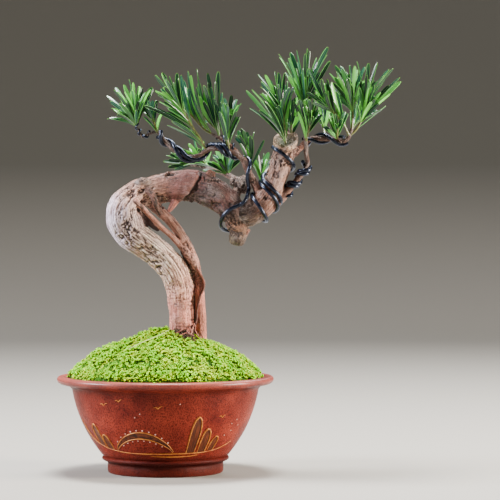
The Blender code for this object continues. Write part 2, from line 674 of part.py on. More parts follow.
def without_crumbs(mesh):
    """The mesh with only its largest connected body kept."""
    work = bmesh.new()
    work.from_mesh(mesh)
    unseen = set(work.faces)
    bodies = []
    while unseen:
        waiting = [unseen.pop()]
        body = set(waiting)
        while waiting:
            face = waiting.pop()
            for edge in face.edges:
                near = [other for other in edge.link_faces if other in unseen]
                unseen.difference_update(near)
                body.update(near)
                waiting.extend(near)
        bodies.append(body)
    largest = max(bodies, key=len)
    crumbs = [face for face in work.faces if face not in largest]
    bmesh.ops.delete(work, geom=crumbs, context="FACES")
    work.to_mesh(mesh)
    work.free()
    return mesh


def grown_copy(mesh, grow):
    """A copy of a closed mesh with its skin moved out."""
    work = bmesh.new()
    work.from_mesh(mesh)
    work.normal_update()
    shifts = [vert.normal * grow * MM for vert in work.verts]
    for vert, shift in zip(work.verts, shifts):
        vert.co += shift
    copy = bpy.data.meshes.new("grown")
    work.to_mesh(copy)
    work.free()
    return copy


def main():
    clear_scene()
    parts = new_collection("buddhist_pine_bonsai")
    cutters = new_collection("cutters", hidden=True)
    axis = bpy.data.objects.new("pot_axis", None)
    parts.objects.link(axis)

    clay = material("red clay", (0.36, 0.11, 0.06), 0.35)
    bark = material("bark", (0.42, 0.27, 0.22), 0.8)
    wire_finish = material("anodised wire", (0.02, 0.02, 0.04), 0.35)
    blade = material("leaf", (0.07, 0.20, 0.05), 0.4)
    turf = material("moss", (0.38, 0.55, 0.08), 0.95)
    earth = material("soil", (0.06, 0.045, 0.03), 0.95)
    net = material("black net", (0.03, 0.03, 0.03), 0.6)

    make_pot(parts, axis, clay)
    make_screen(parts, axis, net)
    socket_mesh = root_plug("socket", SOCKET_FLOOR, SOCKET_TOP, 2 * GAP)
    socket = helper("socket", socket_mesh, cutters, axis)
    soil = turned("soil", soil_profile(), MOSS_STEPS, parts, axis, earth)
    add_boolean(soil, socket, "DIFFERENCE")
    moss = turned("moss", moss_profile(), MOSS_STEPS, parts, axis, turf)
    add_boolean(moss, socket, "DIFFERENCE")

    wood_mesh = make_wood_mesh()
    wood = place("tree_wood", wood_mesh, parts, axis, bark)
    taken = [tree_of(wood_mesh)]
    beds = []
    for name, (radius, route) in wire_routes().items():
        mesh = wire_mesh(name, route, radius)
        place(name, mesh, parts, axis, wire_finish)
        taken.append(tree_of(mesh))
        beds.append(wire_mesh(name + "_bed", route, radius + GAP))
    beds = helper("wire_beds", joined_mesh("wire_beds", beds), cutters, axis)
    thick_wood = helper("thick_wood", grown_copy(wood_mesh, STEM_BED), cutters, axis)
    for name, (stem, tips) in SHOOTS.items():
        mesh = shoot_mesh(name, stem, tips, thick_wood, taken)
        place(name, mesh, parts, axis, blade)
        taken.append(tree_of(mesh))

    add_boolean(wood, beds, "DIFFERENCE", own_folds=True)
    axis.location = (AXIS_SHIFT_X * MM, AXIS_SHIFT_Y * MM, 0.0)


main()
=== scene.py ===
# %% [markdown]
# A Buddhist pine bonsai in its round clay pot.
#
# A bonsai is a tree kept small by its pot, by pruning and by wire. The packed model gives its
# bones: a turned pot, a cushion of moss, limbs, wires and leaves as plain solids. This lesson
# dresses them. Every size is in millimetres from the pot's axis at the foot, as a gardener would
# measure, and one helper turns it into the metres of the model's frame.

# %% The frame
import math
import random

import bpy
import numpy as np
from mathutils import Matrix, Vector, noise


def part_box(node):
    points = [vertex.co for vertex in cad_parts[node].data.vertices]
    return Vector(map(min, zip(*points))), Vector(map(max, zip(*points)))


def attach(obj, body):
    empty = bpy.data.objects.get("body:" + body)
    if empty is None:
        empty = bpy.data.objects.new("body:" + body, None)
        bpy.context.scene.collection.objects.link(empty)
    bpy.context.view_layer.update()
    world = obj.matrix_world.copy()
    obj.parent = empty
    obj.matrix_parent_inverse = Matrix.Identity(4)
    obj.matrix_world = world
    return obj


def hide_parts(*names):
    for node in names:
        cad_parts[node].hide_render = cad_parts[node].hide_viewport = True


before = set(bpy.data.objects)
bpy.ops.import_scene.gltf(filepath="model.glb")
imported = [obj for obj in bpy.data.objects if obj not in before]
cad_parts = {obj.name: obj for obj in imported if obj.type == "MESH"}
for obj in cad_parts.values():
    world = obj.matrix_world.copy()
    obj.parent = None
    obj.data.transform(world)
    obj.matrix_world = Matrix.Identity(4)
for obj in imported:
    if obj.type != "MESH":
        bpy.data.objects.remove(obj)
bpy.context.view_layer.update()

# %% Millimetres from the pot's axis
MM = 0.001
pot_low, pot_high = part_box("pot")
POT_AXIS = Vector(((pot_low.x + pot_high.x) / 2, (pot_low.y + pot_high.y) / 2, 0.0))


def spot(x, y, z):
    """A point in millimetres from the pot's axis at the foot, as metres in the frame."""
    return POT_AXIS + Vector((x, y, z)) * MM


print("the pot's axis stands at", POT_AXIS)

# %% [markdown]
# The camera comes before the pieces, so that every picture already has the right view. A
# long lens from two metres away keeps the pot's rim almost edge-on, and a tilt of one degree
# brings the whole tree into the square picture.

# %% Camera
CAMERA_PLACE = (70.3, -2070.0, 224.0)
CAMERA_TILT = math.radians(1.09)
LENS = 179.3
SENSOR = 36.0

bpy.ops.object.camera_add(location=spot(*CAMERA_PLACE), rotation=(math.pi / 2 - CAMERA_TILT, 0, 0))
camera = bpy.context.object
camera.data.lens = LENS
camera.data.sensor_width = SENSOR
bpy.context.scene.camera = camera
print("camera at", tuple(round(value, 3) for value in camera.location))

# %% [markdown]
# Blender's operators act on whatever is selected, so each one is preceded by a clean selection.
# Modifiers are applied as soon as they have done their work, because the finished meshes are
# what a later reader opens.

# %% Small helpers for selecting and finishing
def only(obj):
    """Make one object the only selected one, and the active one."""
    bpy.ops.object.select_all(action="DESELECT")
    obj.select_set(True)
    bpy.context.view_layer.objects.active = obj


def edit_all(obj):
    """Open an object in edit mode with all of it selected."""
    only(obj)
    bpy.ops.object.mode_set(mode="EDIT")
    bpy.ops.mesh.select_all(action="SELECT")


def done_editing():
    bpy.ops.object.mode_set(mode="OBJECT")


def apply_modifiers(obj):
    only(obj)
    for modifier in list(obj.modifiers):
        bpy.ops.object.modifier_apply(modifier=modifier.name)


def thicken(obj, thickness, offset):
    """Turn a sheet into a solid, to one side of it or to both."""
    modifier = obj.modifiers.new("thicken", "SOLIDIFY")
    modifier.thickness = thickness * MM
    modifier.offset = offset
    apply_modifiers(obj)


def settle(obj):
    """Put an object's place, turn and size into its mesh."""
    only(obj)
    bpy.ops.object.transform_apply(location=True, rotation=True, scale=True)


def ball(radius, place, subdivisions, turned_by=(0, 0, 0)):
    bpy.ops.object.select_all(action="DESELECT")
    bpy.ops.mesh.primitive_ico_sphere_add(subdivisions=subdivisions, radius=radius * MM,
                                          location=spot(*place), rotation=turned_by)
    return bpy.context.object


def join(objects, name):
    bpy.ops.object.select_all(action="DESELECT")
    for obj in objects:
        obj.select_set(True)
    bpy.context.view_layer.objects.active = objects[0]
    bpy.ops.object.join()
    objects[0].name = name
    return objects[0]


def weld(obj, threshold):
    """Merge the points that touch, and turn every face outwards."""
    edit_all(obj)
    bpy.ops.mesh.remove_doubles(threshold=threshold)
    bpy.ops.mesh.normals_make_consistent(inside=False)
    done_editing()


def smooth_below(obj, degrees):
    """Shade an object smooth, apart from edges sharper than the angle."""
    only(obj)
    bpy.ops.object.shade_smooth_by_angle(angle=math.radians(degrees))


def paint_with(obj, material):
    """Give an object this material and no other."""
    obj.data.materials.clear()
    obj.data.materials.append(material)


def report(obj):
    print(obj.name, "has", sum(len(face.vertices) - 2 for face in obj.data.polygons), "triangles")


# %% Positions in and out of a mesh as arrays
def read_points(mesh):
    flat = np.empty(len(mesh.vertices) * 3)
    mesh.vertices.foreach_get("co", flat)
    return flat.reshape(-1, 3)


def write_points(mesh, points):
    mesh.vertices.foreach_set("co", np.asarray(points).ravel())
    mesh.update()


def read_mm(obj):
    """An object's points in millimetres from the pot's axis."""
    return (read_points(obj.data) - np.array(POT_AXIS)) / MM


def write_mm(obj, points):
    write_points(obj.data, points * MM + np.array(POT_AXIS))


def read_normals(mesh):
    return np.array([normal.vector for normal in mesh.vertex_normals])


def store(mesh, name, kind, values):
    """Keep one value for each vertex, for a material to read."""
    layer = mesh.attributes.new(name, kind, "POINT")
    key = {"FLOAT": "value", "FLOAT_VECTOR": "vector", "FLOAT_COLOR": "color"}[kind]
    layer.data.foreach_set(key, np.asarray(values, dtype=np.float32).ravel())


# %% [markdown]
# Wood, wires and stems all follow lines. A few listed points give the route, and a
# Catmull-Rom curve passes smoothly through all of them, carrying the radius along with the place.

# %% Smooth lines through chosen points
def catmull(before, start, end, after, t):
    return [
        0.5 * (2 * b + (c - a) * t + (2 * a - 5 * b + 4 * c - d) * t * t
               + (3 * b - a - 3 * c + d) * t ** 3)
        for a, b, c, d in zip(before, start, end, after)
    ]


def smooth_line(points, spacing):
    """Points about `spacing` apart on a smooth curve through the given ones."""
    ends = [points[0], *points, points[-1]]
    line = []
    for i in range(1, len(ends) - 2):
        count = max(1, round(math.dist(ends[i][:3], ends[i + 1][:3]) / spacing))
        for k in range(count):
            line.append(catmull(*ends[i - 1:i + 3], k / count))
    line.append(list(points[-1]))
    return line


def distances(line):
    total = [0.0]
    for start, end in zip(line, line[1:]):
        total.append(total[-1] + math.dist(start[:3], end[:3]))
    return total


def at_distance(line, along, distance):
    """(point, direction, radius) of a line, a distance from its start."""
    distance = min(max(distance, 0.0), along[-1])
    i = min(int(np.searchsorted(along, distance, side="right")) - 1, len(line) - 2)
    t = (distance - along[i]) / (along[i + 1] - along[i])
    start, end = Vector(line[i][:3]), Vector(line[i + 1][:3])
    radius = line[i][3] * (1 - t) + line[i + 1][3] * t
    return start.lerp(end, t), (end - start).normalized(), radius


def tube(name, line, resolution):
    """A closed tube along (x, y, z, radius) points, as a welded mesh."""
    bpy.ops.curve.primitive_nurbs_path_add(location=(0, 0, 0))
    obj = bpy.context.object
    obj.name = name
    curve = obj.data
    curve.splines.clear()
    spline = curve.splines.new("POLY")
    spline.points.add(len(line) - 1)
    for point, (x, y, z, radius) in zip(spline.points, line):
        point.co = (*spot(x, y, z), 1.0)
        point.radius = radius
    curve.bevel_depth = MM
    curve.bevel_resolution = resolution
    curve.use_fill_caps = True
    only(obj)
    bpy.ops.object.convert(target="MESH")
    obj = bpy.context.object
    weld(obj, 0.00001)
    return obj


# %% [markdown]
# Materials are built from nodes. A small class keeps a node tree and short ways to add to it: a
# node with its settings, a value stretched between two limits, a sum, and a mix of two colours.

# %% Node helpers
def paint(red, green, blue):
    """A colour given in 0 to 255 steps, as the linear values that shaders use."""
    def linear(value):
        value /= 255
        return value / 12.92 if value <= 0.04045 else ((value + 0.055) / 1.055) ** 2.4
    return (linear(red), linear(green), linear(blue), 1.0)


class Nodes:
    """A node tree with short ways to add to it."""

    def __init__(self, tree):
        self.tree = tree

    def add(self, kind, inputs=(), **settings):
        """A node with its settings, and each input either linked or set."""
        made = self.tree.nodes.new("ShaderNode" + kind)
        for key, value in settings.items():
            setattr(made, key, value)
        for socket, value in dict(inputs).items():
            if isinstance(value, bpy.types.NodeSocket):
                self.tree.links.new(value, made.inputs[socket])
            else:
                made.inputs[socket].default_value = value
        return made

    def between(self, value, low, high, to_low=0.0, to_high=1.0):
        """Stretch a value so that low becomes to_low and high to_high, with nothing beyond."""
        inputs = {"Value": value, "From Min": low, "From Max": high,
                  "To Min": to_low, "To Max": to_high}
        return self.add("MapRange", inputs).outputs["Result"]

    def maths(self, first, second, operation="MULTIPLY"):
        return self.add("Math", {0: first, 1: second}, operation=operation).outputs[0]

    def mixed(self, mask, first, second, how="MIX"):
        inputs = {0: mask, 6: first, 7: second}
        return self.add("Mix", inputs, data_type="RGBA", blend_type=how).outputs[2]


# %% [markdown]
# Clay, bark, soil and moss all show the same two things at different scales: a fine speckle and
# broad uneven patches. One node group gives both, and each material sets its own scales.

# %% The shared speckle and patches group
def make_mottle():
    group = bpy.data.node_groups.new("mottle", "ShaderNodeTree")
    nodes = Nodes(group)
    face = group.interface
    face.new_socket("Vector", in_out="INPUT", socket_type="NodeSocketVector")
    for name in ("Fine Scale", "Broad Scale"):
        face.new_socket(name, in_out="INPUT", socket_type="NodeSocketFloat")
    for name in ("Fine", "Broad"):
        face.new_socket(name, in_out="OUTPUT", socket_type="NodeSocketFloat")
    given = group.nodes.new("NodeGroupInput")
    result = group.nodes.new("NodeGroupOutput")
    for name, detail in (("Fine", 3.0), ("Broad", 4.0)):
        inputs = {"Vector": given.outputs["Vector"], "Scale": given.outputs[name + " Scale"],
                  "Detail": detail, "Roughness": 0.6}
        texture = nodes.add("TexNoise", inputs)
        group.links.new(nodes.between(texture.outputs["Fac"], 0.3, 0.7), result.inputs[name])
    return group


MOTTLE = make_mottle()
print("shared group", MOTTLE.name, "has", len(MOTTLE.nodes), "nodes")

# %% [markdown]
# Each material is painted in layers: a base of two tones, then one colour after another laid over
# it wherever a mask is high. It keeps its shader and the colour so far beside its nodes. Constants
# stay on the shader, and only colour, roughness, coat and relief are driven by nodes.

# %% Painting in layers
class Look(Nodes):
    """A material in the making."""

    def __init__(self, name, constants):
        self.material = bpy.data.materials.new(name)
        self.material.use_nodes = True
        super().__init__(self.material.node_tree)
        self.shader = self.tree.nodes["Principled BSDF"]
        for socket, value in constants.items():
            self.shader.inputs[socket].default_value = value
        self.place = self.add("TexCoord").outputs["Object"]
        self.colour = None

    def mottled(self, fine, broad):
        """(speckle mask, patch mask) from the shared group."""
        inputs = {"Vector": self.place, "Fine Scale": fine, "Broad Scale": broad}
        made = self.add("Group", inputs, node_tree=MOTTLE)
        return made.outputs["Fine"], made.outputs["Broad"]

    def read(self, name, output="Fac"):
        """A value that the mesh keeps for each of its points."""
        return self.add("Attribute", attribute_name=name).outputs[output]

    def base(self, mask, low, high):
        """Start from a colour that runs from one paint to another as the mask rises."""
        self.colour = self.mixed(mask, paint(*low), paint(*high))

    def lay(self, mask, over, share=None):
        """Lay a paint, or the colour of a node, over the rest where the mask is high."""
        if share is not None:
            mask = self.maths(mask, share)
        over = paint(*over) if isinstance(over, tuple) else over
        self.colour = self.mixed(mask, self.colour, over)

    def drive(self, socket, value):
        self.tree.links.new(value, self.shader.inputs[socket])

    def bump(self, height, strength, distance):
        inputs = {"Height": height, "Strength": strength, "Distance": distance}
        self.drive("Normal", self.add("Bump", inputs).outputs["Normal"])

    def finished(self):
        self.drive("Base Color", self.colour)
        return self.material


print("a material's steps:", [step for step in vars(Look) if not step.startswith("_")])

# %% [markdown]
# A turned shape starts as one point. The point is extruded along the profile and the line is
# spun round the pot's axis, just as a potter's rib shapes the wall while the wheel turns.

# %% Turned shapes
def turned(name, profile, steps):
    """Spin a closed line of (radius, height) points round the pot's axis."""
    bpy.ops.object.select_all(action="DESELECT")
    bpy.ops.mesh.primitive_plane_add(size=MM, location=spot(profile[0][0], 0, profile[0][1]))
    obj = bpy.context.object
    obj.name = name
    settle(obj)
    edit_all(obj)
    bpy.ops.mesh.merge(type="CENTER")
    for start, end in zip(profile, profile[1:] + profile[:1]):
        step = ((end[0] - start[0]) * MM, 0, (end[1] - start[1]) * MM)
        bpy.ops.mesh.extrude_region_move(TRANSFORM_OT_translate={"value": step})
    bpy.ops.mesh.select_all(action="SELECT")
    bpy.ops.mesh.spin(steps=steps, angle=2 * math.pi, center=POT_AXIS, axis=(0, 0, 1))
    done_editing()
    weld(obj, 0.00001)
    bpy.ops.object.shade_smooth()
    return obj


# %% [markdown]
# The pot is red stoneware, thrown with a rolled lip, a bellied wall and a small moulding above
# the foot ring. Its outline is a few points, with the belly as a shallow arc, and the curve
# through them keeps the lip and the moulding soft, as wet fingers leave them.

# %% Pot outline
RIM_RADIUS = 90.0
RIM_HEIGHT = 80.0
MOUTH_RADIUS = 81.0
NECK = (77.5, 69.0)
WAIST = (53.2, 15.8)
BELLY_BULGE = 3.8
WALL = 5.0
UNDERSIDE = 9.5
FLOOR_TOP = 14.5
DRAIN_RADIUS = 8.0
POT_STEPS = 144


def bowed(start, end, bulge, count):
    """Points on a shallow arc between two (radius, height) points, without the last one."""
    along = Vector((end[0] - start[0], end[1] - start[1]))
    outward = Vector((-along.y, along.x)).normalized()
    arc = []
    for i in range(count):
        t = i / count
        point = Vector(start) + along * t + outward * 4 * bulge * t * (1 - t)
        arc.append((point.x, point.y))
    return arc


lip = [(MOUTH_RADIUS - 0.6, 77.0), (MOUTH_RADIUS, 79.0), (MOUTH_RADIUS + 2.6, RIM_HEIGHT),
       (86.2, RIM_HEIGHT), (88.8, 79.6), (RIM_RADIUS, 78.0), (89.6, 75.8), (87.4, 74.1),
       (83.6, 73.2), (80.4, 72.2), (78.6, 70.8)]
belly = bowed(NECK, WAIST, BELLY_BULGE, 22)
moulding = [WAIST, (52.0, 14.6), (51.2, 13.9), (52.6, 13.0), (52.8, 11.6), (51.4, 10.4),
            (49.4, 9.6), (48.1, 8.4), (48.3, 6.0)]
foot = [(48.1, 2.0), (47.6, 0.5), (46.6, 0.0), (42.6, 0.0), (41.6, 0.6), (41.0, 4.0),
        (40.2, UNDERSIDE - 1.2), (38.8, UNDERSIDE)]
floor = [(DRAIN_RADIUS + 1, UNDERSIDE), (DRAIN_RADIUS, UNDERSIDE + 1),
         (DRAIN_RADIUS, FLOOR_TOP - 0.5), (DRAIN_RADIUS + 0.6, FLOOR_TOP),
         (WAIST[0] - WALL - 1.2, FLOOR_TOP)]
inside = bowed((NECK[0] - WALL + 0.5, NECK[1]), (WAIST[0] - WALL + 0.5, WAIST[1]),
               BELLY_BULGE, 10)[::-1]
lip_curve = smooth_line(lip, 0.8)
moulding_curve = smooth_line(moulding, 0.7)
foot_curve = smooth_line(foot, 1.2)
pot_outline = [*lip_curve, *belly, *moulding_curve, *foot_curve, *floor, *inside]
print("pot outline has", len(pot_outline), "points")

# %% Pot body
pot = turned("pot_body", pot_outline, POT_STEPS)
smooth_below(pot, 38)
report(pot)

# %% [markdown]
# Unglazed stoneware shines softly, as if waxed. Iron specks and tiny pores break the surface,
# patches fired hotter are browner, painted shade darkens the hollow below the lip, the moulding
# and the foot, and a painted highlight lightens the lip. A material reads the frame in metres, so
# its heights are metres too.

# %% Clay material
def make_clay():
    look = Look("red_clay", {"Coat Roughness": 0.3, "Specular IOR Level": 0.04})
    speck, patch = look.mottled(950.0, 45.0)
    height = look.add("SeparateXYZ", {0: look.place}).outputs["Z"]
    look.base(patch, (86, 26, 21), (138, 52, 37))
    look.lay(look.between(speck, 0.42, 0.80), (42, 13, 9), 0.75)
    # Painted shade: a darker band in the hollow below the lip.
    under_lip_shade = look.maths(look.between(height, 0.050, 0.070), look.between(height, 0.0735, 0.0715))
    look.lay(under_lip_shade, (40, 10, 7), 0.45)
    # Painted highlight: the top of the lip is lightened.
    look.lay(look.between(height, 0.0755, 0.0795), (196, 112, 104), 0.24)
    # Painted shade over the moulding and its grooves above the foot.
    groove = look.maths(look.between(height, 0.019, 0.012), look.between(height, 0.0045, 0.009))
    look.lay(groove, (44, 14, 14), 0.7)
    # Painted shade: the foot is darkened below the moulding.
    look.lay(look.between(height, 0.0125, 0.0085, 0.0, 0.6), (34, 11, 8))
    look.drive("Coat Weight", look.between(height, 0.072, 0.077, 0.02, 0.4))
    look.drive("Roughness", look.between(speck, 0.0, 1.0, 0.30, 0.46))
    look.bump(speck, 0.5, 0.0005)
    return look.finished()


clay = make_clay()
pot.data.materials.append(clay)
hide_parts("pot")
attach(pot, "root")
print("clay material has", len(clay.node_tree.nodes), "nodes")

# %% [markdown]
# The front of the pot carries a small landscape in coloured slip, a common old kind of ornament:
# rounded peaks and hummocks on a shore, an arched causeway with bead posts, birds and stars. This
# one has a layout of its own. Lines are thin rods half sunk in the wall, and the filled shapes
# are sheets bent round it, a little proud, as slip dries.

# %% Places on the wall
WALL_HEIGHTS = [height for _, height in belly[::-1]]
WALL_RADII = [radius for radius, _ in belly[::-1]]
MEAN_RADIUS = 64.0


def on_pot(along, z, proud):
    """The point of the outer wall a distance round it from the front's middle, at a height."""
    radius = float(np.interp(z, WALL_HEIGHTS, WALL_RADII)) + proud
    angle = along / MEAN_RADIUS
    return (radius * math.sin(angle), -radius * math.cos(angle), z)


def slip_line(places, thickness):
    """A rod along (x, z) places, thinner towards its ends."""
    line = smooth_line(places, 1.2)
    last = len(line) - 1
    rod = [(*on_pot(x, z, 0.05), thickness * (0.45 + 0.55 * math.sin(math.pi * i / last)))
           for i, (x, z) in enumerate(line)]
    return tube("slip", rod, 2)


def peak(middle, foot, height, half_width, lean):
    """A rounded peak as a function of (u, v): u runs across it from 0 to 1 and v up it."""
    def shape(u, v):
        reach = half_width * math.sqrt(max(0.0, 1 - v ** 3.2)) * (0.82 + 0.18 * v)
        return middle + lean * v + (2 * u - 1) * reach, foot + height * v
    return shape


def causeway(left, right, foot, rise, depth):
    """An arched bank as a function of (u, v): u runs along it and v from its lower edge up."""
    def shape(u, v):
        arch = math.sin(math.pi * u) ** 0.8
        x = left + (right - left) * u
        return x, foot + rise * arch - depth * (1 - v) * (0.25 + 0.75 * arch)
    return shape


PEAKS = [peak(24.5, 21, 30, 4.6, 2.5), peak(35.0, 21, 20, 4.4, 1.2), peak(44.0, 22.5, 12, 3.6, 2.0)]
HUMMOCKS = [peak(-61.0, 25.5, 18, 4.4, -1.0), peak(-52.0, 23.0, 12, 4.4, -1.0)]
BANK = causeway(-45, 9, 22.5, 16, 5.4)
print("wall from", WALL_HEIGHTS[0], "to", WALL_HEIGHTS[-1], "mm")

# %% [markdown]
# Every filled shape gets a golden rod round its edge. The shore lines and the birds are rods alone.

# %% Slip outlines
EDGE_STEPS = 14
SHORES = [
    [(-57, 23.6), (-46, 21.8), (-34, 20.6), (-20, 20.2), (-6, 20.2), (10, 20.4), (26, 20.6),
     (42, 21.4), (56, 24.0), (68, 28.5)],
    [(-12, 18.4), (4, 17.8), (22, 18.0), (33, 19.0)],
    [(-82, 46), (-77, 36), (-70, 28.5), (-57, 23.6)],
]
BIRDS = [(-44, 60, 3.2), (-31, 63.5, 2.4), (-3, 58.5, 3.0), (46, 50, 2.6)]


def edge_of(shape):
    steps = [i / EDGE_STEPS for i in range(EDGE_STEPS + 1)]
    return [shape(0, v) for v in steps] + [shape(1, v) for v in steps[-2::-1]]


def bird(x, z, span):
    return [(x - span, z + 0.9), (x - span * 0.45, z + 1.3), (x, z), (x + span * 0.5, z + 1.6),
            (x + span, z + 1.9)]


arch_steps = [i / 18 for i in range(19)]
gold_lines = [slip_line(edge_of(shape), 0.68) for shape in PEAKS + HUMMOCKS]
gold_lines += [slip_line([BANK(u, v) for u in arch_steps], 0.5) for v in (0, 1)]
gold_lines += [slip_line(shore, 0.5) for shore in SHORES]
gold_lines += [slip_line(bird(*place), 0.4) for place in BIRDS]
slip_outlines = join(gold_lines, "slip_outlines")
report(slip_outlines)


# %% Slip sheets inside the outlines
SLIP_THICKNESS = 0.6


def slip_sheet(shape, columns, rows):
    bpy.ops.object.select_all(action="DESELECT")
    bpy.ops.mesh.primitive_grid_add(x_subdivisions=columns, y_subdivisions=rows, size=2)
    sheet = bpy.context.object
    points = read_points(sheet.data)
    for i, (x, y, _) in enumerate(points):
        points[i] = spot(*on_pot(*shape((x + 1) / 2, (y + 1) / 2), 0.16))
    write_points(sheet.data, points)
    thicken(sheet, SLIP_THICKNESS, -1)
    weld(sheet, 0.00002)
    return sheet


sheets = [slip_sheet(shape, 8, 18) for shape in PEAKS + HUMMOCKS]
sheets.append(slip_sheet(BANK, 40, 4))
slip_infill = join(sheets, "slip_infill")
report(slip_infill)

# %% Slip beads
STARS = [(58, 44), (63, 47), (60, 38), (54, 34.5), (-20, 51), (-16, 54), (12, 62), (67, 42)]


def bead_places():
    posts = []
    for k in range(1, 11):
        u = k / 11
        x, z = BANK(u, 1)
        posts.append((x, z + 1.7, 0.62))
        if 1 < k < 10:
            x, z = BANK(u, 0)
            posts.append((x, z - 1.6, 0.55))
    return posts + [(x, z, 0.5) for x, z in STARS]


beads = []
for x, z, size in bead_places():
    beads.append(ball(size, on_pot(x, z, 0.1), 2))
    settle(beads[-1])
slip_beads = join(beads, "slip_beads")
report(slip_beads)


# %% Slip material
def make_slip(name, dark, light, streaky=False):
    look = Look(name, {"Coat Weight": 0.06, "Coat Roughness": 0.3, "Specular IOR Level": 0.15})
    speck, mask = look.mottled(1300.0, 260.0)
    if streaky:
        rows = look.add("Mapping", {"Vector": look.read("UVMap", "Vector"), "Scale": (7, 1, 1)})
        streak = look.add("TexNoise", {"Vector": rows.outputs["Vector"], "Scale": 2.5})
        mask = look.between(streak.outputs["Fac"], 0.4, 0.62)
    look.base(mask, dark, light)
    look.lay(speck, (60, 26, 16), 0.25)
    look.drive("Roughness", look.between(speck, 0.0, 1.0, 0.34, 0.55))
    look.bump(speck, 0.3, 0.0003)
    return look.finished()


SLIPS = [
    (slip_outlines, make_slip("gold_slip", (128, 62, 20), (206, 132, 52))),
    (slip_infill, make_slip("brown_slip", (40, 17, 9), (96, 44, 20), True)),
    (slip_beads, make_slip("pale_slip", (176, 122, 106), (222, 184, 172))),
]
for piece, finish in SLIPS:
    paint_with(piece, finish)
    smooth_below(piece, 45)
    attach(piece, "root")
print(len(SLIPS), "slip colours")

# %% [markdown]
# Under the moss the pot is full of a coarse dark mix of grit and loam. It shows only at the edge,
# where a few grains lie loose inside the rim, and between the trunk and its aerial root. The
# screen over the drain hole shows only from below.

# %% Soil and drain screen
GRAIN_COUNT = 90


def make_soil_finish():
    look = Look("dark_soil", {"Roughness": 0.95})
    speck, patch = look.mottled(500.0, 120.0)
    look.base(speck, (26, 18, 12), (104, 82, 60))
    look.lay(patch, (52, 38, 26), 0.5)
    look.bump(speck, 1.0, 0.0012)
    return look.finished()


def make_screen_finish():
    look = Look("screen_plastic", {"Roughness": 0.6})
    speck, patch = look.mottled(900.0, 150.0)
    look.base(patch, (20, 22, 22), (44, 42, 38))
    look.bump(speck, 0.2, 0.0002)
    return look.finished()


soil_finish = make_soil_finish()
paint_with(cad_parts["soil"], soil_finish)
paint_with(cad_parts["drain_screen"], make_screen_finish())


def lump(chance, radius, place, middle, low):
    """A rough grain, turned at random and flattened within two ranges."""
    grain = ball(radius, place, 1, (chance.uniform(0, 3), chance.uniform(0, 3), 0))
    grain.scale = (1, chance.uniform(*middle), chance.uniform(*low))
    settle(grain)
    return grain


def make_grit():
    """Loose grains just inside the rim, most of them on the right."""
    chance = random.Random(3)
    grains = []
    for _ in range(GRAIN_COUNT):
        angle = math.radians(chance.choice([chance.gauss(-14, 13), chance.uniform(0, 360)]))
        reach = chance.uniform(78.6, 80.6)
        radius = chance.uniform(0.5, 1.15)
        place = (reach * math.cos(angle), reach * math.sin(angle), chance.uniform(79.0, 80.4))
        grains.append(lump(chance, radius, place, (0.6, 0.9), (0.5, 0.8)))
    grit = join(grains, "loose_grit")
    grit.data.materials.append(soil_finish)
    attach(grit, "root")
    return grit


report(make_grit())

# %% [markdown]
# All the wood grew as one piece: trunk, arch, leader, branches and the aerial roots beside the
# trunk. Each limb is a line of points with a radius. The tubes along these lines are melted
# together by a voxel remesh, which rounds every crotch the way growing bark does.

# %% Limb lines
TRUNK = [
    (14.5, 0, 98, 12.6), (13.3, 0, 114, 10.6), (12.9, 0, 128, 10.3), (12.7, 0, 143, 10.6),
    (11, -1, 156, 11.6), (5.5, -2, 169, 12.0), (-4.8, -3, 180, 12.0), (-16.2, -4, 189, 12.4),
    (-27, -5, 197.5, 14.0), (-32.8, -5, 208, 16.0), (-33, -4, 219, 15.0), (-28, -2, 227, 12.6),
    (-20, 1, 232, 11.6), (-8.5, 3, 234.5, 11.6), (5.5, 4, 237, 12.9), (20.5, 4, 237.5, 13.6),
    (33, 3, 235.5, 14.0), (44.5, 2, 229.5, 13.5), (53.5, 1, 220.5, 12.2), (59, 0, 210.5, 10.6),
    (60.6, 0, 203, 9.0), (60.6, -1, 198.5, 7.9), (59.6, -1.5, 194, 7.9), (58.9, -1.5, 190.4, 7.0),
    (58.6, -1.5, 188.2, 4.6),
]
STUB_NUB = [(60, 0, 203, 5.5), (65, -1, 200.5, 4.4), (69.0, -1.5, 198.2, 3.4)]
LEADER = [
    (60.3, 0, 212, 10.0), (70.3, -1, 215, 11.0), (80.2, -1, 222, 10.8), (87, 0, 232, 10.0),
    (91.5, 0, 243, 9.6), (95.5, 0, 253.7, 9.1), (99.0, 0, 265.4, 9.2), (100, 0, 276, 10.0),
    (100, 1, 288, 10.5),
]
TOP_KNOT = [(99, -1, 263, 6.0), (106, -1, 266, 5.0), (110.5, 0, 267.5, 3.8)]
WIDE_STRAND = [
    (-12.9, 5, 225, 5.8), (-4.6, 4, 217, 5.0), (3.7, 3, 208.8, 4.6), (12, 2, 198, 4.5),
    (18, 1, 188, 4.4), (22, 0, 179, 4.4), (25.4, 1, 170.6, 4.2), (27.3, 2, 160, 4.0),
    (28.7, 2, 143, 4.0), (29.5, 2, 126.5, 4.3), (29.5, 2, 108, 4.8),
]
THIN_STRAND = [
    (-25, -15, 226, 2.2), (-18.7, -13, 219.7, 2.4), (-11, -9, 211.5, 2.4), (-2, -6, 202.5, 2.4),
    (5.4, -4, 196, 2.4), (12, -3, 188.5, 2.4), (17, -2, 182.3, 2.6), (22, -1, 176.4, 2.8),
]
THIN_ROOT = [
    (22, -4, 175, 1.3), (26.2, -4, 169.8, 1.2), (29.5, -3, 164, 1.1), (32.2, -2, 158, 1.1),
    (31.5, -3, 151.5, 1.1), (28.7, -4, 145.7, 1.1), (26.5, -4, 135, 1.1), (25.5, -4, 125, 1.1),
    (23, -6, 118.5, 1.1), (19, -8, 108, 1.3),
]
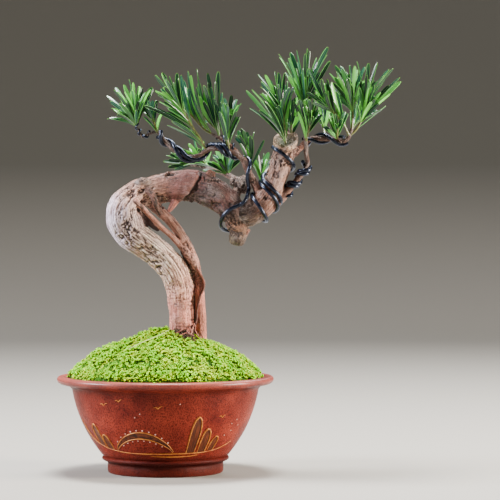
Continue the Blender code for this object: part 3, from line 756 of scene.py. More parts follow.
LEFT_BRANCH = [
    (80, 0, 229, 4.4), (75.5, -1, 238, 3.6), (71, -2.5, 246, 3.2), (67.5, -3.5, 253.5, 3.0),
    (64.5, -4.2, 260, 2.9), (58, -5, 265, 2.7), (48.6, -6, 268, 2.5), (38.7, -6, 268.7, 2.3),
    (32, -6, 265.4, 2.2), (24.5, -6, 262, 2.1), (15.4, -6, 262.5, 2.0), (7, -6, 268, 1.9),
    (0.4, -5, 274.5, 1.8), (-5.4, -5, 282, 1.6), (-13, -4, 281.2, 1.4), (-18.7, -4, 278, 1.3),
    (-21, -4, 282, 1.2), (-24.3, -4, 288.5, 1.2),
]
UPPER_TWIG = [
    (63.5, -4.2, 261, 2.5), (56, -3, 269.5, 2.1), (50, -1, 275, 1.9), (43.6, 1, 278.5, 1.7),
    (38, 2, 281.5, 1.4),
]
BACK_BRANCH = [
    (56, 2, 224, 5.0), (60, 12, 236, 3.6), (58, 18, 243, 3.0), (52, 26, 247, 2.7),
    (43, 35, 251, 2.3), (34, 42, 254, 2.0), (26, 45, 255.5, 1.8), (20, 47, 256, 1.6),
]
RIGHT_TWIG = [
    (88, 0, 222, 3.4), (96, -1, 226.5, 3.2), (102, -1.5, 234, 2.8), (108.5, -2, 242, 2.5),
    (115, -3, 250, 2.3), (118, -3, 257.5, 2.1), (116.5, -3, 265.5, 1.9), (116.8, -3, 272, 1.8),
    (115.8, -3, 280, 1.6),
]
RIGHT_BRANCH = [
    (104, 1, 264, 3.4), (111, 4, 268.5, 3.0), (115.5, 6, 273.5, 2.6), (121, 5.5, 277.2, 2.4),
    (130, 3, 277.4, 2.3), (141, 0.5, 276.6, 2.2), (148.5, -1, 275, 2.0), (153, -1, 279.5, 1.8),
    (155, -1, 286, 1.5),
]

# %% Old bark that stands off the limbs
PANEL_TIP = [(9, -8, 226, 3.4), (5.5, -9, 220.5, 2.6), (3, -9.5, 216.5, 1.4)]
BEND_NUB = [(-24, -5, 238, 3.4), (-19, -6, 241.5, 3.9), (-13.5, -6, 241, 3.0)]
BEND_FOLD = [(-14, -8, 234, 3.2), (-9, -10, 228, 3.0), (-7, -9, 221, 2.6), (-3, -7, 214, 2.2)]
STRAND_KNOT = [(13, -3, 188, 2.4), (18.5, -4, 181, 3.8), (23.5, -4, 176, 3.6), (26, -2, 169, 2.4)]
# Two thin webs of bark fill the gaps between the trunk and its aerial roots. They are painted dark,
# partly as the bark there and partly as painted shade in these deep creases.
WEB_BELOW = [(13.5, 3, 184.7, 2.2), (16.8, 3, 178, 2.5), (20.4, 3, 170.7, 2.6),
             (22.4, 3, 160, 2.6), (23.6, 3, 143, 2.6), (24, 3, 128, 2.7), (24.5, 3, 110, 3.0)]
WEB_ABOVE = [(-21, -3, 216, 3.2), (-15, -3, 210, 3.0), (-9.5, -3, 204.5, 2.6), (-5, -3, 201, 1.6)]
STUB_FOLD = [(50, -6, 214, 3.0), (52.5, -8, 206, 3.4), (58, -8, 203, 2.8), (65, -6, 206, 2.4)]
BACK_KNOB = [(62, 9, 232, 4.5), (64, 10, 239, 5.4), (62, 13, 245, 4.4)]
SIDE_KNOBS = [
    [(66, 10, 234, 3.6), (70, 10, 239, 3.2)],
    [(56, 12, 238, 3.2), (58, 14, 246, 3.8)],
    [(99, -5, 262, 3.6), (104, -6, 259, 3.0)],
    [(78, 5, 212, 2.6), (90, 3, 221, 2.6)],
    [(35, -3, 250, 2.4), (41, -1, 247, 2.8)],
]
LIMBS = [TRUNK, STUB_NUB, LEADER, TOP_KNOT, WIDE_STRAND, THIN_STRAND, THIN_ROOT, LEFT_BRANCH,
         UPPER_TWIG, BACK_BRANCH, RIGHT_TWIG, RIGHT_BRANCH, PANEL_TIP, BEND_NUB, BEND_FOLD,
         STRAND_KNOT, WEB_BELOW, WEB_ABOVE, STUB_FOLD, BACK_KNOB, *SIDE_KNOBS]
print(len(LIMBS), "limbs and bark folds")

# %% Melt the limbs into one skin
CUT_MIDDLE = Vector((99.5, -1.0, 275.0))
CUT_NORMAL = Vector((-0.12, -0.64, 0.76)).normalized()
LIMB_STEP = 2.5
WOOD_VOXEL = 0.74

tubes = [tube("limb", smooth_line(limb, LIMB_STEP), 6) for limb in LIMBS]
edit_all(tubes[LIMBS.index(LEADER)])
bpy.ops.mesh.bisect(plane_co=spot(*CUT_MIDDLE), plane_no=CUT_NORMAL, use_fill=True,
                    clear_outer=True)
done_editing()
wood = join(tubes, "wood")
melt = wood.modifiers.new("melt", "REMESH")
melt.mode = "VOXEL"
melt.voxel_size = WOOD_VOXEL * MM
soften = wood.modifiers.new("soften", "SMOOTH")
soften.factor = 0.5
soften.iterations = 2
apply_modifiers(wood)
report(wood)

# %% [markdown]
# Bark follows its limb, so its pattern needs to know where each point lies along the limb and
# how far round it. Every point of the skin finds its nearest limb and keeps that place: distance
# along, then the two directions across. Streaks and plates drawn in this space run with the grain.

# %% Where each point of the skin lies on its limb
GRAIN_SHIFT = 61.0
BLOCK_SIZE = 4000


def limb_samples():
    rows = []
    for number, limb in enumerate(LIMBS):
        line = smooth_line(limb, 1.5)
        along = distances(line)
        for i, start in enumerate(line[:-1]):
            direction = (Vector(line[i + 1][:3]) - Vector(start[:3])).normalized()
            rows.append((*start, *direction, along[i], number))
    return np.array(rows)


def grain_of(points):
    """For points in millimetres: limb number, distance along, angle round it and its radius."""
    samples = limb_samples()
    nearest = np.empty(len(points), int)
    for first in range(0, len(points), BLOCK_SIZE):
        block = points[first:first + BLOCK_SIZE]
        gaps = np.linalg.norm(block[:, None] - samples[None, :, :3], axis=2) - samples[:, 3]
        nearest[first:first + BLOCK_SIZE] = gaps.argmin(axis=1)
    chosen = samples[nearest]
    middle, radius, heading = chosen[:, :3], chosen[:, 3], chosen[:, 4:7]
    along, number = chosen[:, 7], chosen[:, 8].astype(int)
    offset = points - middle
    forward = (offset * heading).sum(axis=1)
    across = offset - heading * forward[:, None]
    front = np.array([0.0, -1.0, 0.0]) + heading * heading[:, 1:2]
    front /= np.linalg.norm(front, axis=1)[:, None]
    side = np.cross(heading, front)
    angle = np.arctan2((across * side).sum(axis=1), (across * front).sum(axis=1))
    return number, along + forward, angle, radius


skin = read_mm(wood)
limb_number, run, turn, girth = grain_of(skin)
print("skin points:", len(skin))

# %% [markdown]
# The bark changes along the trunk. It is smooth and salmon pink above the moss, streaked with
# grey and cream along the slope, weathered to lilac grey round the bend, flaky and tan on the
# arch, and red-brown where the arch comes down. A short table names these changes by distance
# along the limb: a colour, and how flaky, how weathered and how streaked the bark is there. A
# list then gives each limb its table, in the order of the limbs.

# %% Bark along each limb
TRUNK_BARK = [
    (0, (198, 112, 96), 0.14, 0.05, 0.22), (42, (206, 126, 108), 0.14, 0.10, 0.28),
    (66, (226, 176, 154), 0.25, 0.20, 0.75), (92, (222, 198, 184), 0.35, 0.45, 1.00),
    (112, (150, 128, 120), 0.60, 0.95, 0.80), (128, (168, 146, 148), 0.45, 0.60, 0.50),
    (146, (214, 168, 152), 0.80, 0.50, 0.55), (162, (176, 130, 110), 1.00, 0.55, 0.45),
    (186, (132, 80, 64), 1.00, 0.30, 0.35), (206, (68, 27, 21), 1.00, 0.30, 0.40),
    (226, (62, 26, 20), 1.00, 0.35, 0.50), (244, (84, 44, 30), 0.80, 0.30, 0.45),
    (254, (104, 70, 48), 0.60, 0.40, 0.45), (268, (128, 94, 66), 0.35, 0.30, 0.35),
]
LEADER_BARK = [
    (0, (50, 30, 21), 0.60, 0.35, 0.40), (12, (84, 57, 41), 0.55, 0.50, 0.22),
    (24, (122, 74, 52), 0.50, 0.20, 0.30), (36, (152, 106, 84), 1.00, 0.30, 0.60),
    (48, (158, 116, 96), 1.00, 0.45, 0.50), (60, (138, 98, 82), 1.00, 0.50, 0.50),
    (72, (130, 92, 74), 0.80, 0.50, 0.40),
]
STRAND_BARK = [(0, (196, 138, 120), 0.45, 0.35, 0.85), (40, (222, 170, 152), 0.40, 0.35, 0.90),
               (60, (214, 154, 134), 0.40, 0.25, 0.85), (75, (136, 80, 66), 0.80, 0.20, 0.60),
               (90, (204, 128, 110), 0.15, 0.05, 0.40)]
ROOT_BARK = [(0, (150, 92, 78), 0.1, 0.1, 0.4), (36, (104, 56, 44), 0.1, 0.1, 0.4),
             (60, (84, 42, 34), 0.1, 0.1, 0.4)]
PLATE_BARK = [(0, (150, 88, 76), 0.30, 0.10, 0.40)]
TWIG_BARK = [(0, (142, 90, 68), 0.8, 0.35, 0.7), (36, (92, 58, 42), 0.9, 0.45, 0.7),
             (120, (66, 44, 32), 0.9, 0.45, 0.6)]
KNOB_BARK = [(0, (132, 108, 96), 0.80, 0.75, 0.40)]
ROUGH_BARK = [(0, (104, 62, 48), 1.00, 0.20, 0.60)]
KNOT_BARK = [(0, (206, 150, 134), 0.70, 0.30, 0.60)]
# Dark bark for the two webs: partly bark colour, partly painted shade.
DARK_BARK = [(0, (60, 30, 24), 0.7, 0.2, 0.6)]
STUB_BARK = [(0, (66, 42, 30), 0.9, 0.5, 0.5), (14, (124, 84, 60), 0.6, 0.3, 0.5)]
NUB_BARK = [(0, (116, 68, 50), 0.50, 0.20, 0.40)]
BARKS = [
    TRUNK_BARK, NUB_BARK, LEADER_BARK, TRUNK_BARK[8:9], STRAND_BARK, STRAND_BARK[:1], ROOT_BARK,
    *[TWIG_BARK] * 5, PLATE_BARK, KNOB_BARK, ROUGH_BARK, KNOT_BARK, DARK_BARK, DARK_BARK,
    STUB_BARK, KNOB_BARK, KNOB_BARK, KNOB_BARK, TWIG_BARK, KNOB_BARK, TWIG_BARK,
]


def bark_table():
    """(tint, flaky, weathered, streaked) for every point of the skin."""
    tint = np.zeros((len(skin), 4))
    marks = np.zeros((len(skin), 3))
    for number, rows in enumerate(BARKS):
        here = limb_number == number
        stops = [row[0] for row in rows]
        colours = np.array([paint(*row[1]) for row in rows])
        for channel in range(4):
            tint[here, channel] = np.interp(run[here], stops, colours[:, channel])
        for channel in range(3):
            values = [row[2 + channel] for row in rows]
            marks[here, channel] = np.interp(run[here], stops, values)
    return tint, *marks.T


tint, flaky, weathered, streaked = bark_table()
print("bark rows:", sum(len(rows) for rows in BARKS))

# %% [markdown]
# The relief is real geometry. Long flutes and streaks follow the grain. Flakes are cells with a
# crack round each one and a step from one to the next, as old bark lifts in plates. The lower
# trunk has a few fine rings on its left, where bark wrinkled as the stem thickened.

# %% The smooth panel on the arch, and knots and scars
PANEL = [(20, 248, 8.5), (15, 241, 9.5), (10, 233, 8.5), (7, 226, 6.0), (4, 219, 3.0)]
# Dark dents on the front, as (x, z, reach across, reach up, strength): knots and scars, and hollows
# such as under a wire and in the stub, whose darkness is partly painted shade.
MARKS = [
    (-30.6, 204.6, 4.5, 5.5, 1.0), (-23.6, 201, 2.5, 2.5, 1.0), (-36, 195.2, 3.5, 2.2, 0.8),
    (-9.6, 174.5, 6.0, 1.8, 0.9), (-4.5, 170.0, 3.0, 1.8, 1.0), (-20, 186, 3.0, 1.6, 0.6),
    (-7.4, 226, 2.0, 6.0, 1.0), (-19, 221, 2.0, 5.0, 0.9), (-12, 233, 2.6, 1.8, 0.8),
    (-29, 231, 4.0, 1.6, 0.7), (-2, 222, 3.0, 3.0, 0.8), (25.5, 238, 2.0, 4.5, 0.9),
    (36, 243, 5.0, 2.0, 0.7), (30, 228, 5.0, 1.6, 0.6), (43, 222, 4.5, 2.2, 0.9),
    (50.0, 206.0, 4.4, 4.6, 1.0), (54.5, 200.8, 4.8, 3.6, 1.0), (60.0, 198.0, 5.2, 2.2, 1.0),
    (7.9, 149.2, 2.2, 0.5, 0.35), (8.5, 139.8, 1.8, 0.5, 0.35), (-2.6, 163.7, 2.2, 1.0, 0.5),
    (92, 246, 2.4, 3.2, 0.5), (98, 256, 1.8, 2.8, 0.45), (84, 228, 2.5, 1.8, 0.5),
    (16, 186, 1.4, 2.4, 0.5), (22, 180, 1.2, 2.8, 0.6), (26, 171, 1.0, 2.0, 0.5),
]


# %% Relief of the bark
FLUTE_SCALE = (0.014, 0.11, 0.11)
STREAK_SCALE = (0.07, 0.75, 0.75)
FIBRE_SCALE = (0.16, 1.5, 1.5)
WRINKLE_SCALE = (0.75, 0.11, 0.11)
PLATE_SCALE = (0.06, 0.25, 0.25)
SMALL_PLATE_SCALE = (0.17, 0.55, 0.55)
RING_SPACING = 3.4
CUT_REACH = 12.5
WIRE_ROOM = (-2.4, 1.5)


def noise_at(points, scale=1.0):
    return np.array([noise.noise(Vector(point) * scale) for point in points])


def flakes_at(points):
    """(how deep in a crack, height step of the flake) for each point."""
    cracks = np.empty(len(points))
    steps = np.empty(len(points))
    for i, point in enumerate(points):
        gaps, centres = noise.voronoi(Vector(point))
        cracks[i] = gaps[1] - gaps[0]
        steps[i] = noise.cell(centres[0] * 7.3)
    return np.clip(1 - cracks / 0.16, 0, 1), steps - 0.5


def window(values, low, high, soft):
    return np.clip((values - low) / soft, 0, 1) * np.clip((high - values) / soft, 0, 1)


def panel_reach():
    """How far each point lies across the panel, seen from the front: -1 and 1 at its edges."""
    best = np.full(len(skin), 9.0)
    for start, end in zip(PANEL, PANEL[1:]):
        step = np.array(end[:2]) - start[:2]
        offset = skin[:, [0, 2]] - start[:2]
        t = np.clip(offset @ step / (step @ step), 0, 1)
        apart = offset - t[:, None] * step
        side = np.where(apart[:, 0] * step[1] - apart[:, 1] * step[0] < 0, 1.0, -1.0)
        gap = np.linalg.norm(apart, axis=1) / (start[2] * (1 - t) + end[2] * t)
        best = np.where(gap < np.abs(best), gap * side, best)
    return best


# %% Smoothing a value over the skin
ends = np.empty(len(wood.data.edges) * 2, int)
wood.data.edges.foreach_get("vertices", ends)
first_ends, second_ends = ends.reshape(-1, 2).T
neighbours = np.bincount(ends, minlength=len(skin))


def smoothed(values, passes):
    """The values after each point has taken its neighbours' mean, so many times."""
    for _ in range(passes):
        total = np.bincount(first_ends, values[second_ends], len(skin))
        total += np.bincount(second_ends, values[first_ends], len(skin))
        values = total / np.maximum(neighbours, 1)
    return values


print("edges of the skin:", len(first_ends))

# %% [markdown]
# Every pattern is a noise drawn in the grain's own space: distance along the limb first, then the
# two directions round it. A small first scale and large others stretch a pattern along the limb.

# %% Patterns in the grain
round_x = np.cos(turn) * girth
round_y = np.sin(turn) * girth
shifted = run + limb_number * GRAIN_SHIFT
grain = np.stack([shifted, round_x, round_y], axis=1)
flutes = noise_at(grain * FLUTE_SCALE)
streaks = noise_at(grain * STREAK_SCALE)
fibres = noise_at(grain * FIBRE_SCALE)
lumps = noise_at(skin, 0.09)
pits = noise_at(skin, 0.5)
crumble = noise_at(skin, 0.24)
bent = np.stack([lumps, crumble, pits], axis=1) * (0.5, 0.7, 0.35)
cracks, steps = flakes_at(grain * PLATE_SCALE + bent)
cracks = cracks * np.clip(0.75 + 1.6 * crumble, 0, 1)
small_cracks, small_steps = flakes_at(grain * SMALL_PLATE_SCALE + 1.3 * bent)
print("points in a deep crack:", int((cracks > 0.5).sum()))

# %% [markdown]
# Some places have a bark of their own: the smooth panel on the arch with a furrow round it, the
# weathered outside of the bend, the knots, the saw cut and the low trunk with its fine wrinkles.

# %% Places with a bark of their own
def marks_at(wobble):
    """Depth of the knots, scars and shaded hollows listed in MARKS, for points on the front."""
    depth = np.zeros(len(skin))
    for x, z, across, up, strength in MARKS:
        gap = np.hypot((skin[:, 0] - x) / across, (skin[:, 2] - z) / up) + wobble
        depth = np.maximum(depth, strength * np.clip(1.5 - gap * 1.25, 0, 1))
    return depth * (skin[:, 1] < np.where(on_trunk, 0, 6))


on_trunk = limb_number == LIMBS.index(TRUNK)
front = skin[:, 1] < 2
across_panel = panel_reach() + 0.10 * crumble
inside = np.where(across_panel > 0, (1.0 - across_panel) / 0.12, (1.1 + across_panel) / 0.7)
panel = on_trunk * front * np.clip(inside, 0, 1)
panel_edge = on_trunk * front * np.exp(-((across_panel - 1.08) / 0.12) ** 2)
patches = np.clip(0.45 + 1.9 * noise_at(skin, 0.055) + 0.8 * crumble, 0.12, 1)
outside = np.clip(-read_normals(wood.data)[:, 0] * 1.5 - 0.2, 0, 1) * window(run, 100, 160, 12)
flaky = flaky * patches * (1 - 0.75 * panel) * (1 - 0.6 * outside * on_trunk)
marks = marks_at(0.45 * crumble + 0.3 * pits)
cut_offset = skin - np.array(CUT_MIDDLE)
cut_height = cut_offset @ np.array(CUT_NORMAL)
cut_flat = cut_offset - cut_height[:, None] * np.array(CUT_NORMAL)
cut_spread = np.linalg.norm(cut_flat, axis=1)
sawn = (cut_spread < CUT_REACH) * np.clip(2.2 - np.abs(cut_height) / 1.6, 0, 1)
sawn = sawn * (limb_number != LIMBS.index(RIGHT_BRANCH))
low_trunk = window(run, -20, 62, 8) * on_trunk
wrinkles = noise_at(grain * WRINKLE_SCALE) * low_trunk
wrinkled = window(run, 50, 64, 4) * on_trunk * np.clip(0.7 - np.abs(turn + 0.9), 0, 1)
rings = (np.sin(run * 2 * math.pi / RING_SPACING + 2 * crumble) + 0.4 * crumble) * wrinkled
print("points on the smooth panel:", int((panel > 0.5).sum()))

# %% [markdown]
# The relief adds all of this up, smaller on thin limbs. It stays within limits, so that the wires
# keep their room. Where the skin lies below its smoothed self it is a crease, and above it a ridge.

# %% Adding up the relief
size = np.clip(girth / 9, 0.28, 1.0)
relief = size * (1.0 * flutes + 1.0 * lumps + 0.75 * streaked * streaks + 0.4 * streaked * fibres
                 + flaky * (1.3 * steps - 1.2 * cracks + 0.6 * small_steps - 0.6 * small_cracks
                            + 0.5 * crumble + 0.4 * pits)
                 + 0.25 * rings + 0.28 * wrinkles + 0.2 * low_trunk * pits
                 - 1.3 * marks + 0.7 * marks * pits)
relief = (relief + 0.9 * panel - 1.3 * panel_edge) * (1 - 0.75 * sawn)
relief = np.clip(relief, *WIRE_ROOM)
hollow = smoothed(relief, 14) - relief
fine_hollow = smoothed(relief, 4) - relief
crease = np.clip(1.5 * hollow + 2.5 * fine_hollow + 0.35 * flaky * cracks
                 + 0.5 * streaked * np.clip(-streaks * 2.4 - 0.3, 0, 1)
                 + 0.5 * np.clip(-rings, 0, 1) + 0.25 * np.clip(-wrinkles * 2.6 - 0.5, 0, 1)
                 + 0.8 * panel_edge + marks, 0, 1)
crease = crease * (1 - sawn)
# Ridges are lightened in the paint, partly as bleached bark and partly as a painted highlight; this
# is the share at each point.
bleach_and_highlight = np.where(on_trunk, 0.15 + 0.85 * window(run, 30, 176, 14), 0.8)
ridge = np.clip(-1.4 * hollow - 2.6 * fine_hollow, 0, 1) * np.clip(girth / 4 - 0.6, 0, 1)
ridge = ridge * bleach_and_highlight * (1 - sawn)
write_mm(wood, skin + read_normals(wood.data) * relief[:, None])
print("relief from", round(relief.min(), 2), "to", round(relief.max(), 2), "mm")

# %% [markdown]
# The leader was sawn off at the top, on a slant that faces up and towards the front. Round such a
# cut the tree rolls a ring of callus over the edge, and the wood in the middle sinks and weathers.

# %% The healed cut on top of the leader
CALLUS_RADIUS = 8.6
CALLUS_WIDTH = 1.7


def heal_cut():
    """Raise the callus ring and hollow the middle: (callus, middle) masks for the paint."""
    points = read_mm(wood)
    ring = np.exp(-((cut_spread - CALLUS_RADIUS) / CALLUS_WIDTH) ** 2)
    hollowed = np.clip(1.15 - cut_spread / 6.5, 0, 1)
    rise = 1.3 * ring - 0.7 * hollowed + 0.35 * noise_at(points, 0.5)
    swell = cut_flat * (0.9 * (cut_spread > 6) / np.maximum(cut_spread, 1))[:, None]
    points += sawn[:, None] * (rise[:, None] * np.array(CUT_NORMAL) + swell)
    write_mm(wood, points)
    return sawn * ring, sawn * np.clip(1.5 - cut_spread / 6.2, 0, 1)


callus, pith = heal_cut()
print("points on the cut:", int((callus > 0.1).sum()))

# %% [markdown]
# Colour is painted from the same places. The underside of the slope is ochre and olive. The side
# of the bend that faces the key light gets a painted lilac-white highlight, the underside of the
# arch is darkened as painted shade, and the creases hold dark dirt and painted shade.

# %% Paint that depends on which way the bark faces
facing = read_normals(wood.data)


def glaze(colour, mask):
    """Lay a colour over the tint where the mask is high."""
    global tint
    mask = mask[:, None]
    tint = tint * (1 - mask) + np.array(paint(*colour)) * mask


wavering = 0.5 + 0.5 * np.clip(noise_at(skin, 0.13) * 2.2, -1, 1)
under = np.clip(-facing[:, 2] * 1.6, 0, 1)
slope = on_trunk * window(run, 52, 118, 14)
glaze((134, 84, 34), slope * under * 0.85)
glaze((78, 82, 32), slope * under * wavering * 0.6)
bend = on_trunk * window(run, 104, 150, 12)
# Painted highlight: the side of the bend facing the key light is glazed lilac white, broken by grey
# lilac blotches.
highlit_side = np.clip(-facing[:, 0] * 1.5 - 0.15, 0, 1)
glaze((228, 220, 250), bend * highlit_side * 0.9)
blotches = np.clip(noise_at(skin, 0.15) * 2.6 - 0.35, 0, 1)
glaze((112, 98, 120), bend * highlit_side * blotches * 0.75)
glaze((150, 104, 94), low_trunk * blotches * 0.6)
banded = low_trunk * np.clip(streaks * 2.4, -1, 1)
glaze((228, 168, 154), np.clip(banded, 0, 1) * 0.6)
glaze((156, 96, 82), np.clip(-banded, 0, 1) * 0.6)
rosy = np.clip(-noise_at(skin, 0.12) * 2.2 - 0.2, 0, 1)
glaze((208, 146, 134), low_trunk * rosy * 0.6)
arch = on_trunk * window(run, 196, 250, 10)
# Painted shade: the underside of the arch is darkened.
glaze((52, 24, 17), arch * under * 0.85)
glaze((122, 70, 64), panel * 0.85)
glaze((112, 50, 40), arch * (1 - panel) * wavering * 0.45)
blunt_end = on_trunk * np.clip((run - 262) / 5, 0, 1)
glaze((54, 36, 25), blunt_end * 0.85)
glaze((94, 84, 48), blunt_end * np.clip(-facing[:, 0] * 1.5, 0, 1) * 0.6)
glaze((140, 108, 84), sawn * 0.9)
glaze((196, 168, 138), callus * 0.9)
glaze((84, 104, 64), pith * (0.75 + 0.25 * wavering))
glaze((226, 226, 206), slope * (1 - under) * np.clip(streaks * 2.4 - 0.2, 0, 1) * 0.7)
store(wood.data, "tint", "FLOAT_COLOR", tint)
store(wood.data, "dirt", "FLOAT", np.clip(crease, 0, 1))
store(wood.data, "ridge", "FLOAT", ridge)
store(wood.data, "sleek", "FLOAT", np.clip(0.62 * low_trunk + 0.4 * panel, 0, 1))
store(wood.data, "weathered", "FLOAT", weathered * np.clip(lumps * 2.0 + 0.55, 0, 1))
store(wood.data, "flaky", "FLOAT", flaky)
store(wood.data, "grain", "FLOAT_VECTOR", grain)
print("mean tint", tint.mean(axis=0).round(2))

# %% [markdown]
# The material adds what is too fine for the mesh: fibres along the grain, lichen on weathered
# bark, dark flecks and pale husks on flaky bark, ridges lightened partly as bleaching and partly as
# a painted highlight, and creases darkened by dirt and painted shade.

# %% Bark material
def make_bark():
    look = Look("bark", {"Specular IOR Level": 0.4})
    inputs = {"Vector": look.read("grain", "Vector"), "Scale": (0.09, 1.0, 1.0)}
    inputs = {"Vector": look.add("Mapping", inputs).outputs["Vector"], "Scale": 1.1,
              "Detail": 6.0, "Roughness": 0.65}
    fibre = look.add("TexNoise", inputs).outputs["Fac"]
    speck, patch = look.mottled(800.0, 130.0)
    tinted = look.read("tint", "Color")
    light = look.mixed(1.0, tinted, (1.35, 1.30, 1.28, 1), "MULTIPLY")
    dark = look.mixed(1.0, tinted, (0.42, 0.34, 0.30, 1), "MULTIPLY")
    grooved = look.maths(look.between(fibre, 0.40, 0.58), look.read("sleek"), "MAXIMUM")
    look.colour = look.mixed(grooved, dark, light)
    look.lay(look.between(patch, 0.7, 0.3, 0.0, 0.65), dark)
    lichen = look.mixed(speck, paint(74, 68, 66), paint(188, 180, 180))
    look.lay(look.maths(look.read("weathered"), look.between(patch, 0.35, 0.6)), lichen, 0.8)
    look.lay(look.between(speck, 0.55, 0.85, 0.0, 0.5), dark)
    flaky_here = look.read("flaky")
    look.lay(look.maths(look.between(speck, 0.53, 0.74), flaky_here), (30, 17, 14), 0.85)
    look.lay(look.maths(look.between(speck, 0.32, 0.16), flaky_here), (206, 184, 170), 0.6)
    # Ridges: bleaching and painted highlight.
    look.lay(look.read("ridge"), look.mixed(0.45, light, paint(232, 206, 190)), 0.5)
    # Creases: dirt and painted shade.
    look.lay(look.read("dirt"), (36, 22, 18), 0.85)
    look.drive("Roughness", look.between(fibre, 0.3, 0.7, 0.50, 0.74))
    look.bump(look.maths(look.maths(fibre, 0.7), speck, "ADD"), 0.7, 0.0010)
    return look.finished()


bark = make_bark()
paint_with(wood, bark)
only(wood)
bpy.ops.object.shade_smooth()
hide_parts("tree_wood")
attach(wood, "root")
print("bark material has", len(bark.node_tree.nodes), "nodes")

# %% [markdown]
# Soft aluminium wire holds each branch in its bend until the wood has set. A wire winds round its
# limb, so its route is worked out from the limb's own line. Each wire below has its radius and,
# for every limb it winds round, pairs of an angle round the limb and a distance along it. The
# first wire starts with a free hook round the stub. Corners are eased where a wire passes from one
# limb to the next, because wire bends in curves.

# %% Wire routes
HEAVY_WIRE = 1.55
MIDDLE_WIRE = 1.3
THIN_WIRE = 0.9
WIRE_CLEARANCE = 0.5
WIND_STEP = 12
EASED_STEP = 1.3
EASING_PASSES = 10
ANCHOR_HOOK = [
    (57, 10.5, 200), (51, 8, 200.5), (47, 2.5, 202), (45.3, -4.5, 206), (47.5, -10.5, 213),
    (54, -13.4, 219), (61, -13, 221.5), (66, -11.2, 224), (68, -8.5, 229), (69, -4, 234),
]
WIRES = {
    "wire_left_anchor": (HEAVY_WIRE, [(LEFT_BRANCH, [
        (270, 11), (290, 16), (330, 22), (420, 30), (540, 37), (630, 43), (720, 50), (810, 57),
        (900, 65), (990, 73.5), (1080, 86), (1170, 96.5), (1260, 103.5), (1350, 109),
        (1440, 114), (1500, 117)])]),
    "wire_left_second": (HEAVY_WIRE, [(LEFT_BRANCH, [
        (600, 47), (630, 49), (720, 56), (810, 63), (900, 71.5), (990, 81.5), (1080, 95),
        (1170, 104), (1260, 110.5), (1350, 115.5)])]),
    "wire_left_tip": (THIN_WIRE, [(LEFT_BRANCH, [
        (1480, 124), (1740, 129), (2100, 136), (2460, 141), (2600, 144)])]),
    "wire_upper_twig": (THIN_WIRE, [(UPPER_TWIG, [
        (250, 8), (360, 11), (540, 15.5), (720, 20.5), (900, 27), (960, 29)])]),
    "wire_leader": (HEAVY_WIRE, [(LEADER, [
        (190, 13), (90, 18), (-60, 21), (-110, 27), (-270, 32), (-450, 46), (-630, 61),
        (-800, 75)])]),
    "wire_leader_second": (HEAVY_WIRE, [
        (LEADER, [(-200, 22), (-270, 27), (-450, 41), (-540, 45.5), (-600, 45)]),
        (RIGHT_TWIG, [(150, 16), (360, 24), (720, 37), (1020, 48)])]),
    "wire_twig_second": (HEAVY_WIRE, [
        (LEADER, [(-540, 36), (-590, 38)]),
        (RIGHT_TWIG, [(40, 15.5), (180, 21), (540, 33.5), (860, 45.5)])]),
    "wire_right_first": (MIDDLE_WIRE, [(RIGHT_BRANCH, [(120, 17), (500, 54)])]),
    "wire_right_second": (MIDDLE_WIRE, [(RIGHT_BRANCH, [(-60, 17), (320, 54)])]),
}


def wound(limb, winds, wire):
    """Points of a wire of this radius, wound round a limb."""
    line = smooth_line(limb, 2.0)
    along = distances(line)
    points = []
    for (angle, distance), (next_angle, next_distance) in zip(winds, winds[1:]):
        count = max(1, round(abs(next_angle - angle) / WIND_STEP))
        for k in range(count):
            t = k / count
            centre, direction, radius = at_distance(
                line, along, distance + (next_distance - distance) * t)
            front = Vector((0, -1, 0))
            front = (front - direction * front.dot(direction)).normalized()
            side = direction.cross(front)
            turned_by = math.radians(angle + (next_angle - angle) * t)
            reach = radius + wire + WIRE_CLEARANCE
            across = math.cos(turned_by) * front + math.sin(turned_by) * side
            points.append(tuple(centre + reach * across))
    return points


def eased(points):
    """Even steps along the points, with the corners rounded off."""
    line = np.array(points, float)
    steps = np.linalg.norm(np.diff(line, axis=0), axis=1)
    along = np.concatenate([[0], np.cumsum(steps)])
    even = np.linspace(0, along[-1], int(along[-1] / EASED_STEP) + 2)
    line = np.stack([np.interp(even, along, line[:, axis]) for axis in range(3)], axis=1)
    for _ in range(EASING_PASSES):
        line[1:-1] = line[1:-1] * 0.5 + (line[:-2] + line[2:]) * 0.25
    return line


print(len(WIRES), "wires")


# %% [markdown]
# The wire is anodised a blue black. Its shine is satin and bluish, and it is rubbed and dusty in
# places, so the roughness wanders and a little grey lies over the dark metal.

# %% Wires
def make_wire_finish():
    bluish = (0.5, 0.66, 1.0, 1.0)
    look = Look("blued_wire", {"Metallic": 0.3, "Coat Weight": 0.24, "Coat Roughness": 0.12,
                               "Coat Tint": bluish, "Specular IOR Level": 0.4,
                               "Specular Tint": bluish})
    speck, patch = look.mottled(900.0, 220.0)
    look.base(look.maths(patch, 0.6), (5, 6, 12), (18, 20, 36))
    look.lay(look.between(speck, 0.6, 1.0), (90, 84, 84), 0.15)
    look.drive("Roughness", look.between(patch, 0.0, 1.0, 0.22, 0.36))
    look.bump(speck, 0.12, 0.0002)
    return look.finished()


wire_finish = make_wire_finish()
for node, (radius, windings) in WIRES.items():
    route = list(ANCHOR_HOOK) if node == "wire_left_anchor" else []
    for limb, winds in windings:
        route += wound(limb, winds, radius)
    wire = tube(node.replace("wire_", "bound_"), [(*point, radius) for point in eased(route)], 3)
    smooth_below(wire, 50)
    paint_with(wire, wire_finish)
    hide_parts(node)
    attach(wire, "root")
    report(wire)

# %% [markdown]
# A Buddhist pine is no pine but a podocarp, and its needles are really leathery straps. Each is
# widest beyond its middle, ends in a blunt tip, and has one midrib that shows as a pale groove.
# One leaf is modelled, then copied and bent for every place in the crown.

